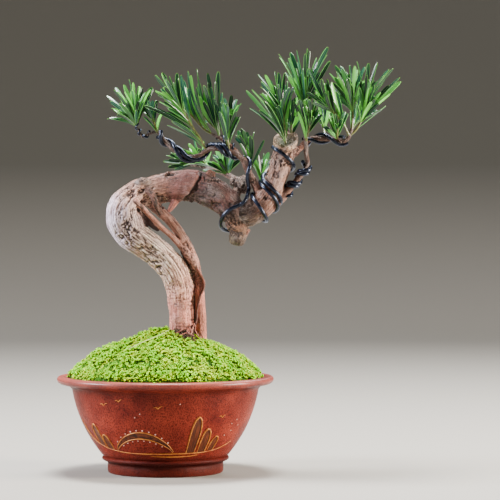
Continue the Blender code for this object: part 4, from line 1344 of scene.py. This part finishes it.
# %% One leaf
LEAF_STEPS = 9
LEAF_THICKNESS = 0.34
LEAF_LENGTH = 30.0
LEAF_OUTLINE = [(0, 0.22), (0.08, 0.3), (0.2, 0.52), (0.36, 0.8), (0.52, 0.96), (0.68, 1.0),
                (0.82, 0.97), (0.91, 0.86), (0.97, 0.64), (1.0, 0.26)]
TIP_CROWDING = 1.45
RIB_SINK = 0.30


def make_leaf():
    """A flat strap along +Y, one millimetre wide to each side, for bending later."""
    bpy.ops.object.select_all(action="DESELECT")
    bpy.ops.mesh.primitive_grid_add(x_subdivisions=2, y_subdivisions=LEAF_STEPS, size=2 * MM)
    leaf = bpy.context.object
    leaf.name = "leaf"
    points = read_points(leaf.data)
    along = (points[:, 1] / MM + 1) / 2
    stops, widths = zip(*LEAF_OUTLINE)
    along = 1 - np.clip(1 - along, 0, 1) ** TIP_CROWDING
    width = np.interp(along, stops, widths)
    side = points[:, 0] / MM
    points[:, 0] = side * width * MM
    points[:, 1] = along * LEAF_LENGTH * MM
    points[:, 2] = (np.abs(side) * width * RIB_SINK) * MM
    write_points(leaf.data, points)
    thicken(leaf, LEAF_THICKNESS, 0)
    bpy.ops.object.shade_smooth()
    return leaf


leaf = make_leaf()
report(leaf)

# %% [markdown]
# Each shoot is a stem, as points from its limb outwards, and the tips of its leaves. Only the tips
# that show are listed. Where a leaf starts on the stem follows from its tip, and shorter leaves
# fill the tuft.

# %% Shoots
STEM_RADIUS = 1.1
STEM_TIP_RADIUS = 0.8
LEAF_SPREAD = 2.0
LEAF_STAGGER = 0.8
LEAF_TIERS = 5
LOWEST_LEAF = 0.02
LOWEST_ON_BARE_STEM = 0.5
BARE_STEMS = ("shoot_right_upright", "shoot_right_end", "shoot_crown")
TOP_LEAF_SETBACK = 0.8
FILLER_SHARE = 2.2
SHOOTS = {
    "shoot_left_end": (
        [(-23.6, -4, 286.5), (-24.5, -5, 293), (-25, -6, 298)],
        [(-48, -8, 293), (-39, -14, 297), (-44, -10, 302), (-46, 4, 308), (-49, 8, 313),
         (-42, -12, 317), (-42, 10, 320), (-33, -16, 315), (-30, -4, 326), (-27, 6, 324),
         (-22, 12, 321), (-16, -10, 315), (-26, -18, 316), (-11, 2, 320), (-10, 14, 319),
         (-24, -14, 300)],
    ),
    "shoot_left_bud": (
        [(-6.5, -5, 281.5), (-8.5, -4, 288), (-11, -2, 295)],
        [(-18, -8, 295), (-14, 6, 309), (-7, -2, 309), (-2, 10, 300), (-22, 12, 306)],
    ),
    "shoot_left_long": (
        [(34.5, -6, 266.6), (29, -7, 277), (23, -8, 286), (13, -10, 302)],
        [(0, -22, 308), (-8, -12, 316), (-17, -14, 304), (-8, -2, 302), (2, -10, 288),
         (6, -18, 291), (-8, -14, 329), (-3, -4, 331), (1, -20, 325), (4, -16, 328),
         (10, -8, 331), (13, 2, 330)],
    ),
    "shoot_left_mid": (
        [(39, 2, 281), (31, 3, 286), (20, 4, 298)],
        [(19, -6, 333), (21, 8, 330), (15, 14, 326), (8, 16, 320), (26, -10, 319),
         (11, 20, 312), (3, 22, 317)],
    ),
    "shoot_left_high": (
        [(45, 0.6, 277.8), (43, 4, 284), (37, 7, 290), (32, 8, 296)],
        [(26, 2, 335), (35, 8, 332), (44, 4, 333), (42, -6, 324), (32, -10, 321),
         (41, -8, 310), (20, 18, 323), (37, 20, 320), (47, 16, 316)],
    ),
    "shoot_left_back": (
        [(51, -1, 274.3), (48, 8, 283), (44, 15, 290)],
        [(43, 6, 300), (48, 14, 305), (37, 24, 302), (52, 22, 298), (33, 30, 293)],
    ),
    "shoot_middle": (
        [(53, -5.6, 266.8), (52, -8.5, 276), (53, -5, 291)],
        [(46, -8, 307), (55, -4, 313), (63, -6, 306), (40, -10, 310), (49, 6, 311),
         (59, 8, 310), (45, -16, 299), (62, -12, 295), (52, -16, 304)],
    ),
    "shoot_middle_low": (
        [(69, -3, 250), (72, 1.5, 256), (69, 6, 268)],
        [(65, 2, 284), (60, 12, 284), (68, 10, 283), (74, 6, 283), (82, 4, 276),
         (58, 8, 278), (72, -4, 277), (62, -6, 273)],
    ),
    "shoot_crotch": (
        [(79, 4, 230), (80, 11, 241), (80, 16, 251)],
        [(77, 12, 264), (82, 16, 265), (86, 22, 266), (72, 14, 259), (89, 26, 261),
         (74, 24, 255), (69, 18, 252)],
    ),
    "shoot_back_near": (
        [(52, 26, 247), (50, 27, 251), (48, 28, 256)],
        [(24, 30, 257), (33, 36, 259), (39, 26, 262), (48, 22, 270), (57, 20, 264),
         (62, 28, 260), (42, 34, 268), (53, 38, 268), (31, 22, 251)],
    ),
    "shoot_back_mid": (
        [(34, 42, 254), (31, 43, 258), (28, 44, 262)],
        [(18, 44, 274), (23, 50, 278), (10, 40, 270), (31, 40, 276), (14, 52, 268),
         (14, 38, 255), (38, 50, 272), (19, 56, 270)],
    ),
    "shoot_back_end": (
        [(21, 46.8, 256), (16.5, 47.5, 258), (11, 48, 261.5)],
        [(1, 46, 254), (-1, 52, 264), (4, 54, 272), (6, 40, 250), (-3, 42, 259)],
    ),
    "shoot_top_left": (
        [(100, -3, 273), (98, -5, 292), (96, -8, 305)],
        [(77, -6, 330), (79, -22, 319), (91, -12, 332), (94, 4, 332), (99, -4, 331),
         (87, 8, 326), (82, -30, 307), (72, -16, 317), (67, 2, 317), (70, -8, 302),
         (78, -20, 300), (76, 10, 305), (92, -24, 302), (103, -12, 319), (107, -6, 320),
         (98, 12, 327), (104, 12, 316)],
    ),
    "shoot_top_back": (
        [(104, 4, 272), (105, 8, 291)],
        [(106, 4, 310), (110, 14, 312), (113, 10, 306), (102, 20, 312), (99, 22, 305),
         (116, 18, 300)],
    ),
    "shoot_crown": (
        [(115.9, -3, 279), (116, -1, 297), (116, 0, 312)],
        [(94, -4, 347), (95, 10, 345), (104, 4, 349), (109, -6, 350), (116, -10, 347),
         (120, 2, 350), (135, 0, 353), (134, -8, 346), (137, 8, 342), (102, -16, 343),
         (114, -20, 334), (110, 14, 341), (126, 16, 345), (119, -16, 334), (100, 18, 333)],
    ),
    "shoot_crown_low": (
        [(116.6, -3, 274), (118.5, -7, 283), (121, -10, 293)],
        [(110, -14, 299), (106, -10, 308), (111, -18, 309), (117, -16, 310), (123, -16, 309),
         (127, -14, 301), (130, -6, 297), (114, -24, 302), (132, -2, 306)],
    ),
    "shoot_right_fore": (
        [(152.6, -1, 279), (147, -6, 290), (136, -9, 302)],
        [(119, -12, 334), (122, -4, 326), (129, -18, 326), (134, -12, 326), (121, -2, 313),
         (117, -12, 315), (127, 4, 323), (138, 0, 322), (122, -18, 306), (142, -16, 315)],
    ),
    "shoot_right_upright": (
        [(154.9, -1, 285), (155.5, 0, 297), (156, 2, 312)],
        [(141, 4, 338), (136, -4, 331), (146, -8, 334), (153, 0, 338), (157, -8, 337),
         (166, 6, 337), (160, 14, 335), (150, 16, 333), (139, -12, 323), (137, -6, 317),
         (137, 4, 312), (143, -18, 327), (150, -18, 325), (134, 14, 323), (146, 18, 338),
         (170, 16, 327), (142, 12, 310)],
    ),
    "shoot_right_low": (
        [(142.5, 0.2, 276.3), (142.5, -6, 281.5), (143, -11, 287)],
        [(135, -16, 296), (131, -10, 287), (140, -20, 288), (149, -16, 299), (151, -10, 298),
         (142, -6, 305), (138, -2, 302)],
    ),
    "shoot_right_end": (
        [(153.3, -1, 280), (158.5, 0, 284.5), (163, 2, 293), (165, 3, 303)],
        [(159, 0, 341), (169, 4, 340), (176, -2, 340), (186, 6, 335), (189, -4, 335),
         (195, 2, 328), (196, 8, 325), (188, -8, 320), (173, -12, 321), (177, -8, 306),
         (180, 4, 301), (164, 14, 326), (183, 16, 328), (168, -18, 318), (158, -12, 307)],
    ),
    "shoot_right_back": (
        [(133, 2.2, 277.2), (132, 12, 286), (131, 22, 295)],
        [(126, 24, 319), (134, 32, 321), (141, 26, 317), (119, 26, 307), (145, 34, 307),
         (130, 38, 312), (121, 34, 299)],
    ),
    "shoot_far_back": (
        [(149.3, -1, 275.8), (152, 7, 279.5), (156, 15, 286), (161, 22, 293)],
        [(173, 26, 317), (181, 24, 312), (168, 28, 324), (162, 34, 317), (177, 30, 302),
         (155, 36, 309), (184, 18, 305)],
    ),
}
print(sum(len(tips) for _, tips in SHOOTS.values()), "listed leaves on", len(SHOOTS), "shoots")


# %% Where leaves leave their stem
def leaf_bases(stem, tips, lowest):
    """Each leaf's base and the stem's direction there: higher leaves nearer the stem's end."""
    line = smooth_line([(*point, STEM_RADIUS) for point in stem], 1.5)
    along = distances(line)
    total = along[-1]
    bases = []
    for number, tip in enumerate(tips):
        best = min(range(len(line)), key=lambda i: math.dist(line[i][:3], tip))
        point, direction, _ = at_distance(line, along, along[best])
        beyond = (Vector(tip) - point).dot(direction)
        sideways = ((Vector(tip) - point) - direction * beyond).length
        distance = along[best] + beyond - sideways * LEAF_SPREAD
        highest = total - TOP_LEAF_SETBACK - (number % LEAF_TIERS) * LEAF_STAGGER
        distance = min(max(distance, total * lowest), highest)
        bases.append(at_distance(line, along, distance)[:2])
    return bases


def filler_tips(stem, tips, chance):
    """Shorter leaves between the listed ones, so that each tuft is dense inside."""
    end = Vector(stem[-1])
    made = []
    for _ in range(round(len(tips) * FILLER_SHARE)):
        first, second = chance.sample(tips, 2)
        middle = Vector(first).lerp(Vector(second), chance.uniform(0.2, 0.6))
        wander = Vector([chance.uniform(-4, 4) for _ in range(3)])
        made.append(tuple(end + (middle - end) * chance.uniform(0.4, 1.0) + wander))
    return made


# %% [markdown]
# A leaf leaves its stem close to the stem's own direction and then arches out to its tip, so its
# midline is a simple curve with one bend. Its flat side turns towards the light and the front,
# a little differently for each leaf, as leaf stalks twist to share the light.

# %% Bending a copy of the leaf into place
LIGHT_SIDE = Vector((-0.15, -0.85, 0.35))


def copy_of(part):
    copy = part.copy()
    copy.data = part.data.copy()
    bpy.context.scene.collection.objects.link(copy)
    return copy


def bent_leaf(base, tip, stem_direction, half_width, chance):
    base, tip = Vector(base), Vector(tip)
    length = (tip - base).length
    lead = stem_direction * chance.uniform(0.25, 0.85)
    heading = (lead + (tip - base).normalized()).normalized()
    elbow = base + heading * length * 0.5
    wander = Vector([chance.uniform(-1, 1) for _ in range(3)])
    inward = stem_direction - (tip - base).normalized() * 0.6
    facing = inward * 0.4 + LIGHT_SIDE * chance.choice([1.0, 0.9, 0.6, -0.4]) + wander * 0.75
    twist = math.radians(chance.uniform(-35, 35))
    copy = copy_of(leaf)
    points = read_points(copy.data) / MM
    for i, (x, y, z) in enumerate(points):
        t = y / LEAF_LENGTH
        middle = base.lerp(elbow, t).lerp(elbow.lerp(tip, t), t)
        along = (elbow - base).lerp(tip - elbow, t).normalized()
        face = (facing - along * facing.dot(along)).normalized()
        across = along.cross(face)
        turned_by = twist * t
        across, face = (across * math.cos(turned_by) + face * math.sin(turned_by),
                        face * math.cos(turned_by) - across * math.sin(turned_by))
        points[i] = middle + across * x * half_width + face * z
    write_mm(copy, points)
    store(copy.data, "tone", "FLOAT", [chance.random()] * len(points))
    store(copy.data, "woody", "FLOAT", [0.0] * len(points))
    return copy


# %% [markdown]
# Old leaves are a deep blue green and young ones a fresh green, so each leaf carries a tone of its
# own. The midrib and the edges are paler, the base is yellower, and a thin wax coat shines.

# %% Leaf material
def make_leaf_finish():
    look = Look("strap_leaf", {"Coat Weight": 0.5, "Coat Roughness": 0.18,
                               "Coat Tint": (0.74, 0.92, 0.94, 1.0), "Specular IOR Level": 0.2})
    flat = look.read("UVMap", "Vector")
    place = look.add("SeparateXYZ", {0: flat})
    across = look.maths(look.maths(place.outputs["X"], 0.5, "SUBTRACT"), 0.0, "ABSOLUTE")
    along = place.outputs["Y"]
    tone = look.read("tone")
    speck, patch = look.mottled(700.0, 90.0)
    shade = look.maths(look.between(tone, 0.32, 0.78, 0.0, 0.8), look.maths(patch, 0.2), "ADD")
    look.base(shade, (2, 12, 24), (8, 64, 60))
    look.lay(look.between(tone, 0.70, 0.94, 0.0, 0.9), (108, 194, 68))
    look.lay(look.between(across, 0.10, 0.02, 0.0, 0.35), (104, 168, 64))
    look.lay(look.between(across, 0.40, 0.5, 0.0, 0.6), (106, 184, 66))
    look.lay(look.between(along, 0.93, 1.0, 0.0, 0.35), (128, 150, 48))
    look.lay(look.between(along, 0.22, 0.0, 0.0, 0.7), (116, 150, 60))
    look.lay(look.read("woody"), look.mixed(speck, paint(52, 64, 24), paint(116, 108, 56)))
    look.drive("Roughness", look.between(patch, 0.0, 1.0, 0.28, 0.42))
    veins = look.add("Mapping", {"Vector": flat, "Scale": (26, 1.2, 1)}).outputs["Vector"]
    vein = look.add("TexNoise", {"Vector": veins, "Scale": 1.0, "Detail": 3.0})
    look.bump(vein.outputs["Fac"], 0.3, 0.0002)
    return look.finished()


leaf_finish = make_leaf_finish()
print("leaf material has", len(leaf_finish.node_tree.nodes), "nodes")

# %% Every shoot
LEAF_HALF_WIDTH = 1.6


def make_shoot(node, stem, tips):
    chance = random.Random(node)
    radii = np.linspace(STEM_RADIUS, STEM_TIP_RADIUS, len(stem))
    ends = [(*point, radius) for point, radius in zip(stem, radii)]
    stalk = tube(node, smooth_line(ends, 1.5), 2)
    count = len(stalk.data.vertices)
    store(stalk.data, "tone", "FLOAT", [0.5] * count)
    store(stalk.data, "woody", "FLOAT", [1.0] * count)
    if not stalk.data.uv_layers:
        stalk.data.uv_layers.new(name="UVMap")
    tips = [*tips, *filler_tips(stem, tips, chance)]
    lowest = LOWEST_ON_BARE_STEM if node in BARE_STEMS else LOWEST_LEAF
    blades = []
    for tip, (base, direction) in zip(tips, leaf_bases(stem, tips, lowest)):
        half_width = LEAF_HALF_WIDTH * chance.uniform(0.8, 1.12)
        blades.append(bent_leaf(base, tip, direction, half_width, chance))
    shoot = join([stalk, *blades], node.replace("shoot_", "leaves_"))
    paint_with(shoot, leaf_finish)
    smooth_below(shoot, 60)
    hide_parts(node)
    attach(shoot, "root")
    return shoot


for node, (stem, tips) in SHOOTS.items():
    report(make_shoot(node, stem, tips))
bpy.data.objects.remove(leaf)

# %% [markdown]
# The moss is a living cushion of countless tiny sprigs. A lumpy turned dome makes its body. One
# pointed blade is modelled, five blades make a sprig, and twenty sprigs make a tuft. Copies of
# three tufts, turned and tilted, then cover the dome.

# %% Moss dome
MOSS_TOP = [(0, 118.0), (12, 116.2), (24.5, 111.4), (36, 107.6), (47, 103.4), (58, 98.4),
            (67, 92.6), (74, 86.6), (78.2, 82.2), (80.0, 79.6)]
MOSS_EDGE = 80
MOSS_UNDER = [(78.8, 78.4), (72, 80.0), (62.2, 87.6), (45.2, 95.9), (24.1, 102.4), (0, 108.4)]
moss_curve = smooth_line(MOSS_TOP, 1.6)
MOSS_RADII, MOSS_HEIGHTS = zip(*moss_curve)


def moss_height(radius):
    """Height of the dome's outline at a distance from the axis."""
    return float(np.interp(radius, MOSS_RADII, MOSS_HEIGHTS))


def moss_lift(x, y, radius):
    """How far the moss swells out there. It is level at the rim."""
    broad = noise.noise(Vector((x / 17, y / 17, 3.1))) * 2.0
    lumpy = noise.noise(Vector((x / 6.5, y / 6.5, 8.2))) * 1.0
    return (broad + lumpy) * min(1, (MOSS_EDGE - radius) / 8)


def make_moss_dome():
    dome = turned("moss_dome", [*moss_curve, *MOSS_UNDER], 120)
    points = read_mm(dome)
    for i, (x, y, z) in enumerate(points):
        radius = math.hypot(x, y)
        if z > 80.5 and z > np.interp(radius, [0, 60, 80], [112, 93, 80]):
            points[i, 2] += moss_lift(x, y, radius)
    write_mm(dome, points)
    return dome


moss_dome = make_moss_dome()
report(moss_dome)


# %% [markdown]
# A blade is a thin cone with a leaning tip. Blades lean outwards from their sprig, and sprigs of
# several sizes stand in a spiral, some deep and some proud, so that no tuft looks combed.

# %% One tuft of sprigs
BLADES = 5
SPRIGS = 20
BLADE_LENGTH = 4.2
BLADE_LEAN = (4, 42)
TUFT_RADIUS = 6.4
SPRIG_TURN = 2.4
SPRIG_DEPTH = (-2.2, 0.5)
SPRIG_SIZES = [0.6, 0.8, 0.9, 1.0, 1.2, 1.5]


def make_blade():
    bpy.ops.object.select_all(action="DESELECT")
    stalk = 0.52 * BLADE_LENGTH
    bpy.ops.mesh.primitive_cone_add(vertices=3, radius1=0.24 * MM, radius2=0.36 * MM,
                                    depth=stalk * MM, location=(0, 0, stalk / 2 * MM))
    blade = bpy.context.object
    settle(blade)
    for face in blade.data.polygons:
        face.select = face.normal.z > 0.9
    for vertex in blade.data.vertices:
        vertex.select = vertex.co.z > stalk * 0.9 * MM
    bpy.ops.object.mode_set(mode="EDIT")
    grow = {"value": (1.0 * MM, 0, (BLADE_LENGTH - stalk) * MM)}
    bpy.ops.mesh.extrude_region_move(TRANSFORM_OT_translate=grow)
    bpy.ops.mesh.merge(type="CENTER")
    done_editing()
    heights = read_points(blade.data)[:, 2] / (BLADE_LENGTH * MM)
    store(blade.data, "tip", "FLOAT", heights)
    return blade


def spread(part, places, name):
    """Join copies of a part, one for each (matrix, tone)."""
    points = read_points(part.data)
    copies = []
    for matrix, tone in places:
        copy = copy_of(part)
        grid = np.array(matrix)
        write_points(copy.data, points @ grid[:3, :3].T + grid[:3, 3])
        if tone is not None:
            store(copy.data, "tone", "FLOAT", [tone] * len(points))
        copies.append(copy)
    return join(copies, name)


def turning(angle, axis):
    return Matrix.Rotation(math.radians(angle), 4, axis)


def make_tuft(blade, seed):
    chance = random.Random(seed)
    places = []
    for i in range(SPRIGS):
        reach = TUFT_RADIUS * MM * math.sqrt((i + 0.5) / SPRIGS)
        angle = i * SPRIG_TURN + chance.uniform(-0.3, 0.3)
        shift = Matrix.Translation((reach * math.cos(angle), reach * math.sin(angle),
                                    chance.uniform(*SPRIG_DEPTH) * MM))
        sprig = shift @ turning(chance.uniform(0, 360), "Z") @ turning(chance.uniform(0, 30), "X")
        size = Matrix.Scale(chance.choice(SPRIG_SIZES), 4)
        sprig_tone = chance.random()
        for k in range(BLADES):
            tone = 0.65 * sprig_tone + 0.35 * chance.random()
            lean = turning(k * 360 / BLADES + chance.uniform(-25, 25), "Z")
            lean = lean @ turning(chance.uniform(*BLADE_LEAN), "Y")
            places.append((sprig @ size @ lean, tone))
    return spread(blade, places, "tuft")


blade = make_blade()
tufts = [make_tuft(blade, seed) for seed in (11, 12, 13)]
bpy.data.objects.remove(blade)
report(tufts[0])

# %% [markdown]
# The tufts stand in a spiral too, upright on the dome, with one ring of them at the rim. They keep
# clear of the trunk and of the bare spot in front of it.

# %% Cover the dome
TUFT_COUNT = 360
RIM_TUFTS = 76
GOLDEN_ANGLE = 2.39996
FIELD_RADIUS = 75.0
RIM_RING = (75.4, 77.0)
OUTERMOST = 76.6
BARE_SPOT = (17.0, -16.0, 9.6)
TRUNK_FOOT = [(12.9, 0, 9.0), (29.5, 2, 4.0)]


def tuft_places(chance):
    places = []
    for i in range(TUFT_COUNT + RIM_TUFTS):
        radius = FIELD_RADIUS * ((i + 0.5) / TUFT_COUNT) ** 0.5 + chance.uniform(-1.2, 1.2)
        angle = i * GOLDEN_ANGLE + chance.uniform(-0.05, 0.05)
        if i >= TUFT_COUNT:
            radius = chance.uniform(*RIM_RING)
            angle = (i - TUFT_COUNT) * 2 * math.pi / RIM_TUFTS
        radius = min(max(radius, 0.0), OUTERMOST)
        x, y = radius * math.cos(angle), radius * math.sin(angle)
        bare = math.dist((x, y), BARE_SPOT[:2]) < BARE_SPOT[2]
        if bare or any(math.dist((x, y), foot[:2]) < foot[2] for foot in TRUNK_FOOT):
            continue
        slope = (moss_height(radius + 1) - moss_height(radius - 1)) / 2
        normal = Vector((-slope * math.cos(angle), -slope * math.sin(angle), 1)).normalized()
        height = moss_height(radius) + moss_lift(x, y, radius)
        tilt = normal.to_track_quat("Z", "Y").to_matrix().to_4x4()
        spin = turning(chance.uniform(0, 360), "Z")
        size = Matrix.Scale(chance.uniform(0.78, 1.18), 4)
        places.append(Matrix.Translation(spot(x, y, height)) @ tilt @ spin @ size)
    return places


places = tuft_places(random.Random(5))
sprigs = []
for number in range(3):
    chosen = places[number::3]
    groups = [spread(tuft, [(matrix, None) for matrix in chosen[k::3]], "moss_part")
              for k, tuft in enumerate(tufts)]
    sprig_piece = join(groups, f"moss_sprigs_{number + 1}")
    sprigs.append(sprig_piece)
    report(sprig_piece)
for tuft in tufts:
    bpy.data.objects.remove(tuft)


# %% [markdown]
# Right in front of the trunk the moss leaves a gap. Dark crumbs of soil lie there, heaped against
# the wood, and a few fine reddish roots creep over them.

# %% Crumbs and fine roots at the foot
CRUMB_COUNT = 190
TRUNK_MIDDLE = (13.4, 0.0)
TRUNK_REACH = 11.2
FINE_ROOTS = [
    [(24, -7, 124, 0.6), (22.5, -10.5, 119, 0.6), (18, -13.5, 116.5, 0.5), (12, -16, 114.5, 0.4)],
    [(25, -5, 122, 0.6), (25, -9.5, 118, 0.5), (27, -13, 115, 0.45), (30, -16, 112, 0.35)],
    [(20, -9, 121, 0.5), (22.5, -12.5, 117.5, 0.5), (21, -16, 115, 0.4)],
    [(15, -11.3, 120, 0.45), (12, -13.2, 117.5, 0.45), (7, -14.5, 115.5, 0.35)],
    [(18, -10.8, 119, 0.45), (19.5, -14, 116.5, 0.45), (25, -17.5, 113.5, 0.35)],
]
DRY_STRAW = [(-29, -47, 104.8, 0.14), (-23, -43, 107.6, 0.2), (-15.5, -37, 110.9, 0.24),
             (-7, -29, 114.0, 0.24), (-1, -23, 116.8, 0.2), (4, -17, 119.4, 0.13)]


def make_crumbs():
    chance = random.Random(8)
    crumbs = []
    for _ in range(CRUMB_COUNT):
        angle = math.radians(chance.gauss(-74, 27))
        out = abs(chance.gauss(0, 5.0))
        x = TRUNK_MIDDLE[0] + (TRUNK_REACH + out) * math.cos(angle)
        y = TRUNK_MIDDLE[1] + (TRUNK_REACH + out) * math.sin(angle)
        z = moss_height(math.hypot(x, y)) + chance.uniform(0, 5.5) / (1 + out)
        crumbs.append(lump(chance, chance.uniform(0.6, 1.5), (x, y, z), (0.6, 0.95), (0.5, 0.9)))
    return join(crumbs, "foot_crumbs")


def make_root_finish():
    look = Look("root_skin", {"Roughness": 0.6})
    speck, patch = look.mottled(900.0, 200.0)
    look.base(patch, (104, 46, 34), (186, 120, 100))
    look.lay(speck, (60, 30, 22), 0.3)
    look.bump(speck, 0.3, 0.0003)
    return look.finished()


def make_straw_finish():
    look = Look("dry_straw", {"Roughness": 0.5})
    speck, patch = look.mottled(700.0, 150.0)
    look.base(patch, (170, 190, 90), (214, 224, 150))
    look.lay(speck, (120, 120, 60), 0.3)
    return look.finished()


foot_crumbs = make_crumbs()
dry_straw = tube("dry_straw", smooth_line(DRY_STRAW, 1.2), 2)
foot_roots = join([tube("root", smooth_line(root, 1.2), 2) for root in FINE_ROOTS], "foot_roots")
for piece, finish, slot in ((foot_crumbs, soil_finish, "soil"),
                            (foot_roots, make_root_finish(), "bark"),
                            (dry_straw, make_straw_finish(), "moss")):
    paint_with(piece, finish)
    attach(piece, "root")
    report(piece)
for piece in (foot_roots, dry_straw):
    only(piece)
    bpy.ops.object.shade_smooth()


# %% [markdown]
# Moss is painted with a highlight at its tips and with painted shade, nearly black, between them.
# It turns olive brown towards the bare spot.

# %% Moss materials
FOOT_SOIL = (17, -15, 114)


def near_foot(look, far, near):
    """A mask that is 1 within `near` metres of the soil at the trunk's foot, 0 beyond `far`."""
    inputs = {0: look.place, 1: spot(*FOOT_SOIL)}
    distance = look.add("VectorMath", inputs, operation="DISTANCE").outputs["Value"]
    return look.between(distance, far, near)


def make_moss_finish():
    look = Look("moss_green", {"Roughness": 0.8, "Specular IOR Level": 0.12})
    speck, patch = look.mottled(420.0, 55.0)
    tone = look.maths(look.maths(look.read("tone"), 0.7), look.maths(patch, 0.3), "ADD")
    look.base(look.between(tone, 0.08, 0.42), (80, 196, 4), (182, 255, 10))
    look.lay(look.between(tone, 0.44, 0.70), (232, 255, 44))
    tip = look.read("tip")
    # Painted shade: blades darken to nearly black towards their bases, deep in the cushion.
    look.lay(look.between(tip, 0.56, 0.25, 0.0, 0.97), (6, 18, 2))
    # Painted highlight: the blade tips are lightened.
    look.lay(look.between(tip, 0.7, 1.0, 0.0, 0.5), (240, 255, 72))
    look.lay(speck, (130, 190, 20), 0.15)
    look.lay(near_foot(look, 0.017, 0.009), (92, 96, 24), 0.65)
    return look.finished()


def make_moss_bed():
    look = Look("moss_bed", {"Roughness": 0.9, "Specular IOR Level": 0.1})
    speck, patch = look.mottled(380.0, 60.0)
    # Dark green under the sprigs: partly the moss's own lower stems, partly painted shade in the
    # depth of the cushion.
    look.base(speck, (10, 22, 4), (60, 110, 8))
    look.lay(patch, (20, 40, 6), 0.5)
    look.lay(near_foot(look, 0.022, 0.012), (30, 20, 15))
    look.bump(speck, 0.8, 0.001)
    return look.finished()


moss_finish = make_moss_finish()
moss_bed = make_moss_bed()
for piece in [moss_dome, *sprigs]:
    paint_with(piece, moss_bed if piece is moss_dome else moss_finish)
    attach(piece, "root")
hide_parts("moss")
for piece in sprigs:
    smooth_below(piece, 40)
print("moss tufts:", len(places))

# %% [markdown]
# The floor is a wide disc that curves up all round into a wall, as in a photographer's cove, so
# there is no edge behind the tree from any side. Two big softboxes, a cool one on the left and a
# warm one on the right, give the pot its two broad highlights with a darker band between them. A
# third above brings out the moss and the wood, and a faint one behind parts them from the wall.

# %% Floor and backdrop
COVE_RADIUS = 3400.0
COVE_BEND = 1400.0
COVE_HEIGHT = 2600.0
COVE_THICKNESS = 20.0


def make_cove():
    bend = []
    for i in range(25):
        angle = math.radians(90 * i / 24)
        bend.append((COVE_RADIUS - COVE_BEND * (1 - math.sin(angle)),
                     COVE_BEND * (1 - math.cos(angle))))
    outer = COVE_RADIUS + COVE_THICKNESS
    profile = [(0.0, 0.0), (400.0, 0.0), *bend, (COVE_RADIUS, COVE_HEIGHT), (outer, COVE_HEIGHT),
               (outer, -COVE_THICKNESS), (0.0, -COVE_THICKNESS)]
    return turned("floor", profile, 96)


def make_floor_finish():
    """A pale floor that darkens up the wall."""
    look = Look("pale_floor", {"Roughness": 0.7})
    height = look.add("SeparateXYZ", {0: look.place}).outputs["Z"]
    look.base(look.between(height, 0.0, 0.3), (150, 146, 139), (88, 86, 79))
    return look.finished()


cove = make_cove()
smooth_below(cove, 40)
cove.data.materials.append(make_floor_finish())
report(cove)

# %% Lights
AIM = spot(40, 0, 170)


def softbox(name, place, size, power, colour):
    bpy.ops.object.light_add(type="AREA", location=spot(*place))
    light = bpy.context.object
    light.name = name
    light.rotation_euler = (AIM - light.location).to_track_quat("-Z", "Y").to_euler()
    light.data.size = size * MM
    light.data.energy = power
    light.data.color = colour
    return light


softbox("key", (-1650, -250, 800), 700, 122.0, (0.95, 0.95, 1.0))
softbox("side", (1520, -220, 450), 600, 104.0, (1.0, 0.90, 0.77))
softbox("above", (0, 150, 1500), 450, 86.0, (1.0, 1.0, 0.98))
softbox("back", (600, 1000, 1100), 600, 16.0, (0.92, 0.96, 1.0))
world = bpy.data.worlds.new("soft_room")
bpy.context.scene.world = world
world.use_nodes = True
world.node_tree.nodes["Background"].inputs["Color"].default_value = (0.85, 0.9, 1.0, 1.0)
world.node_tree.nodes["Background"].inputs["Strength"].default_value = 0.02
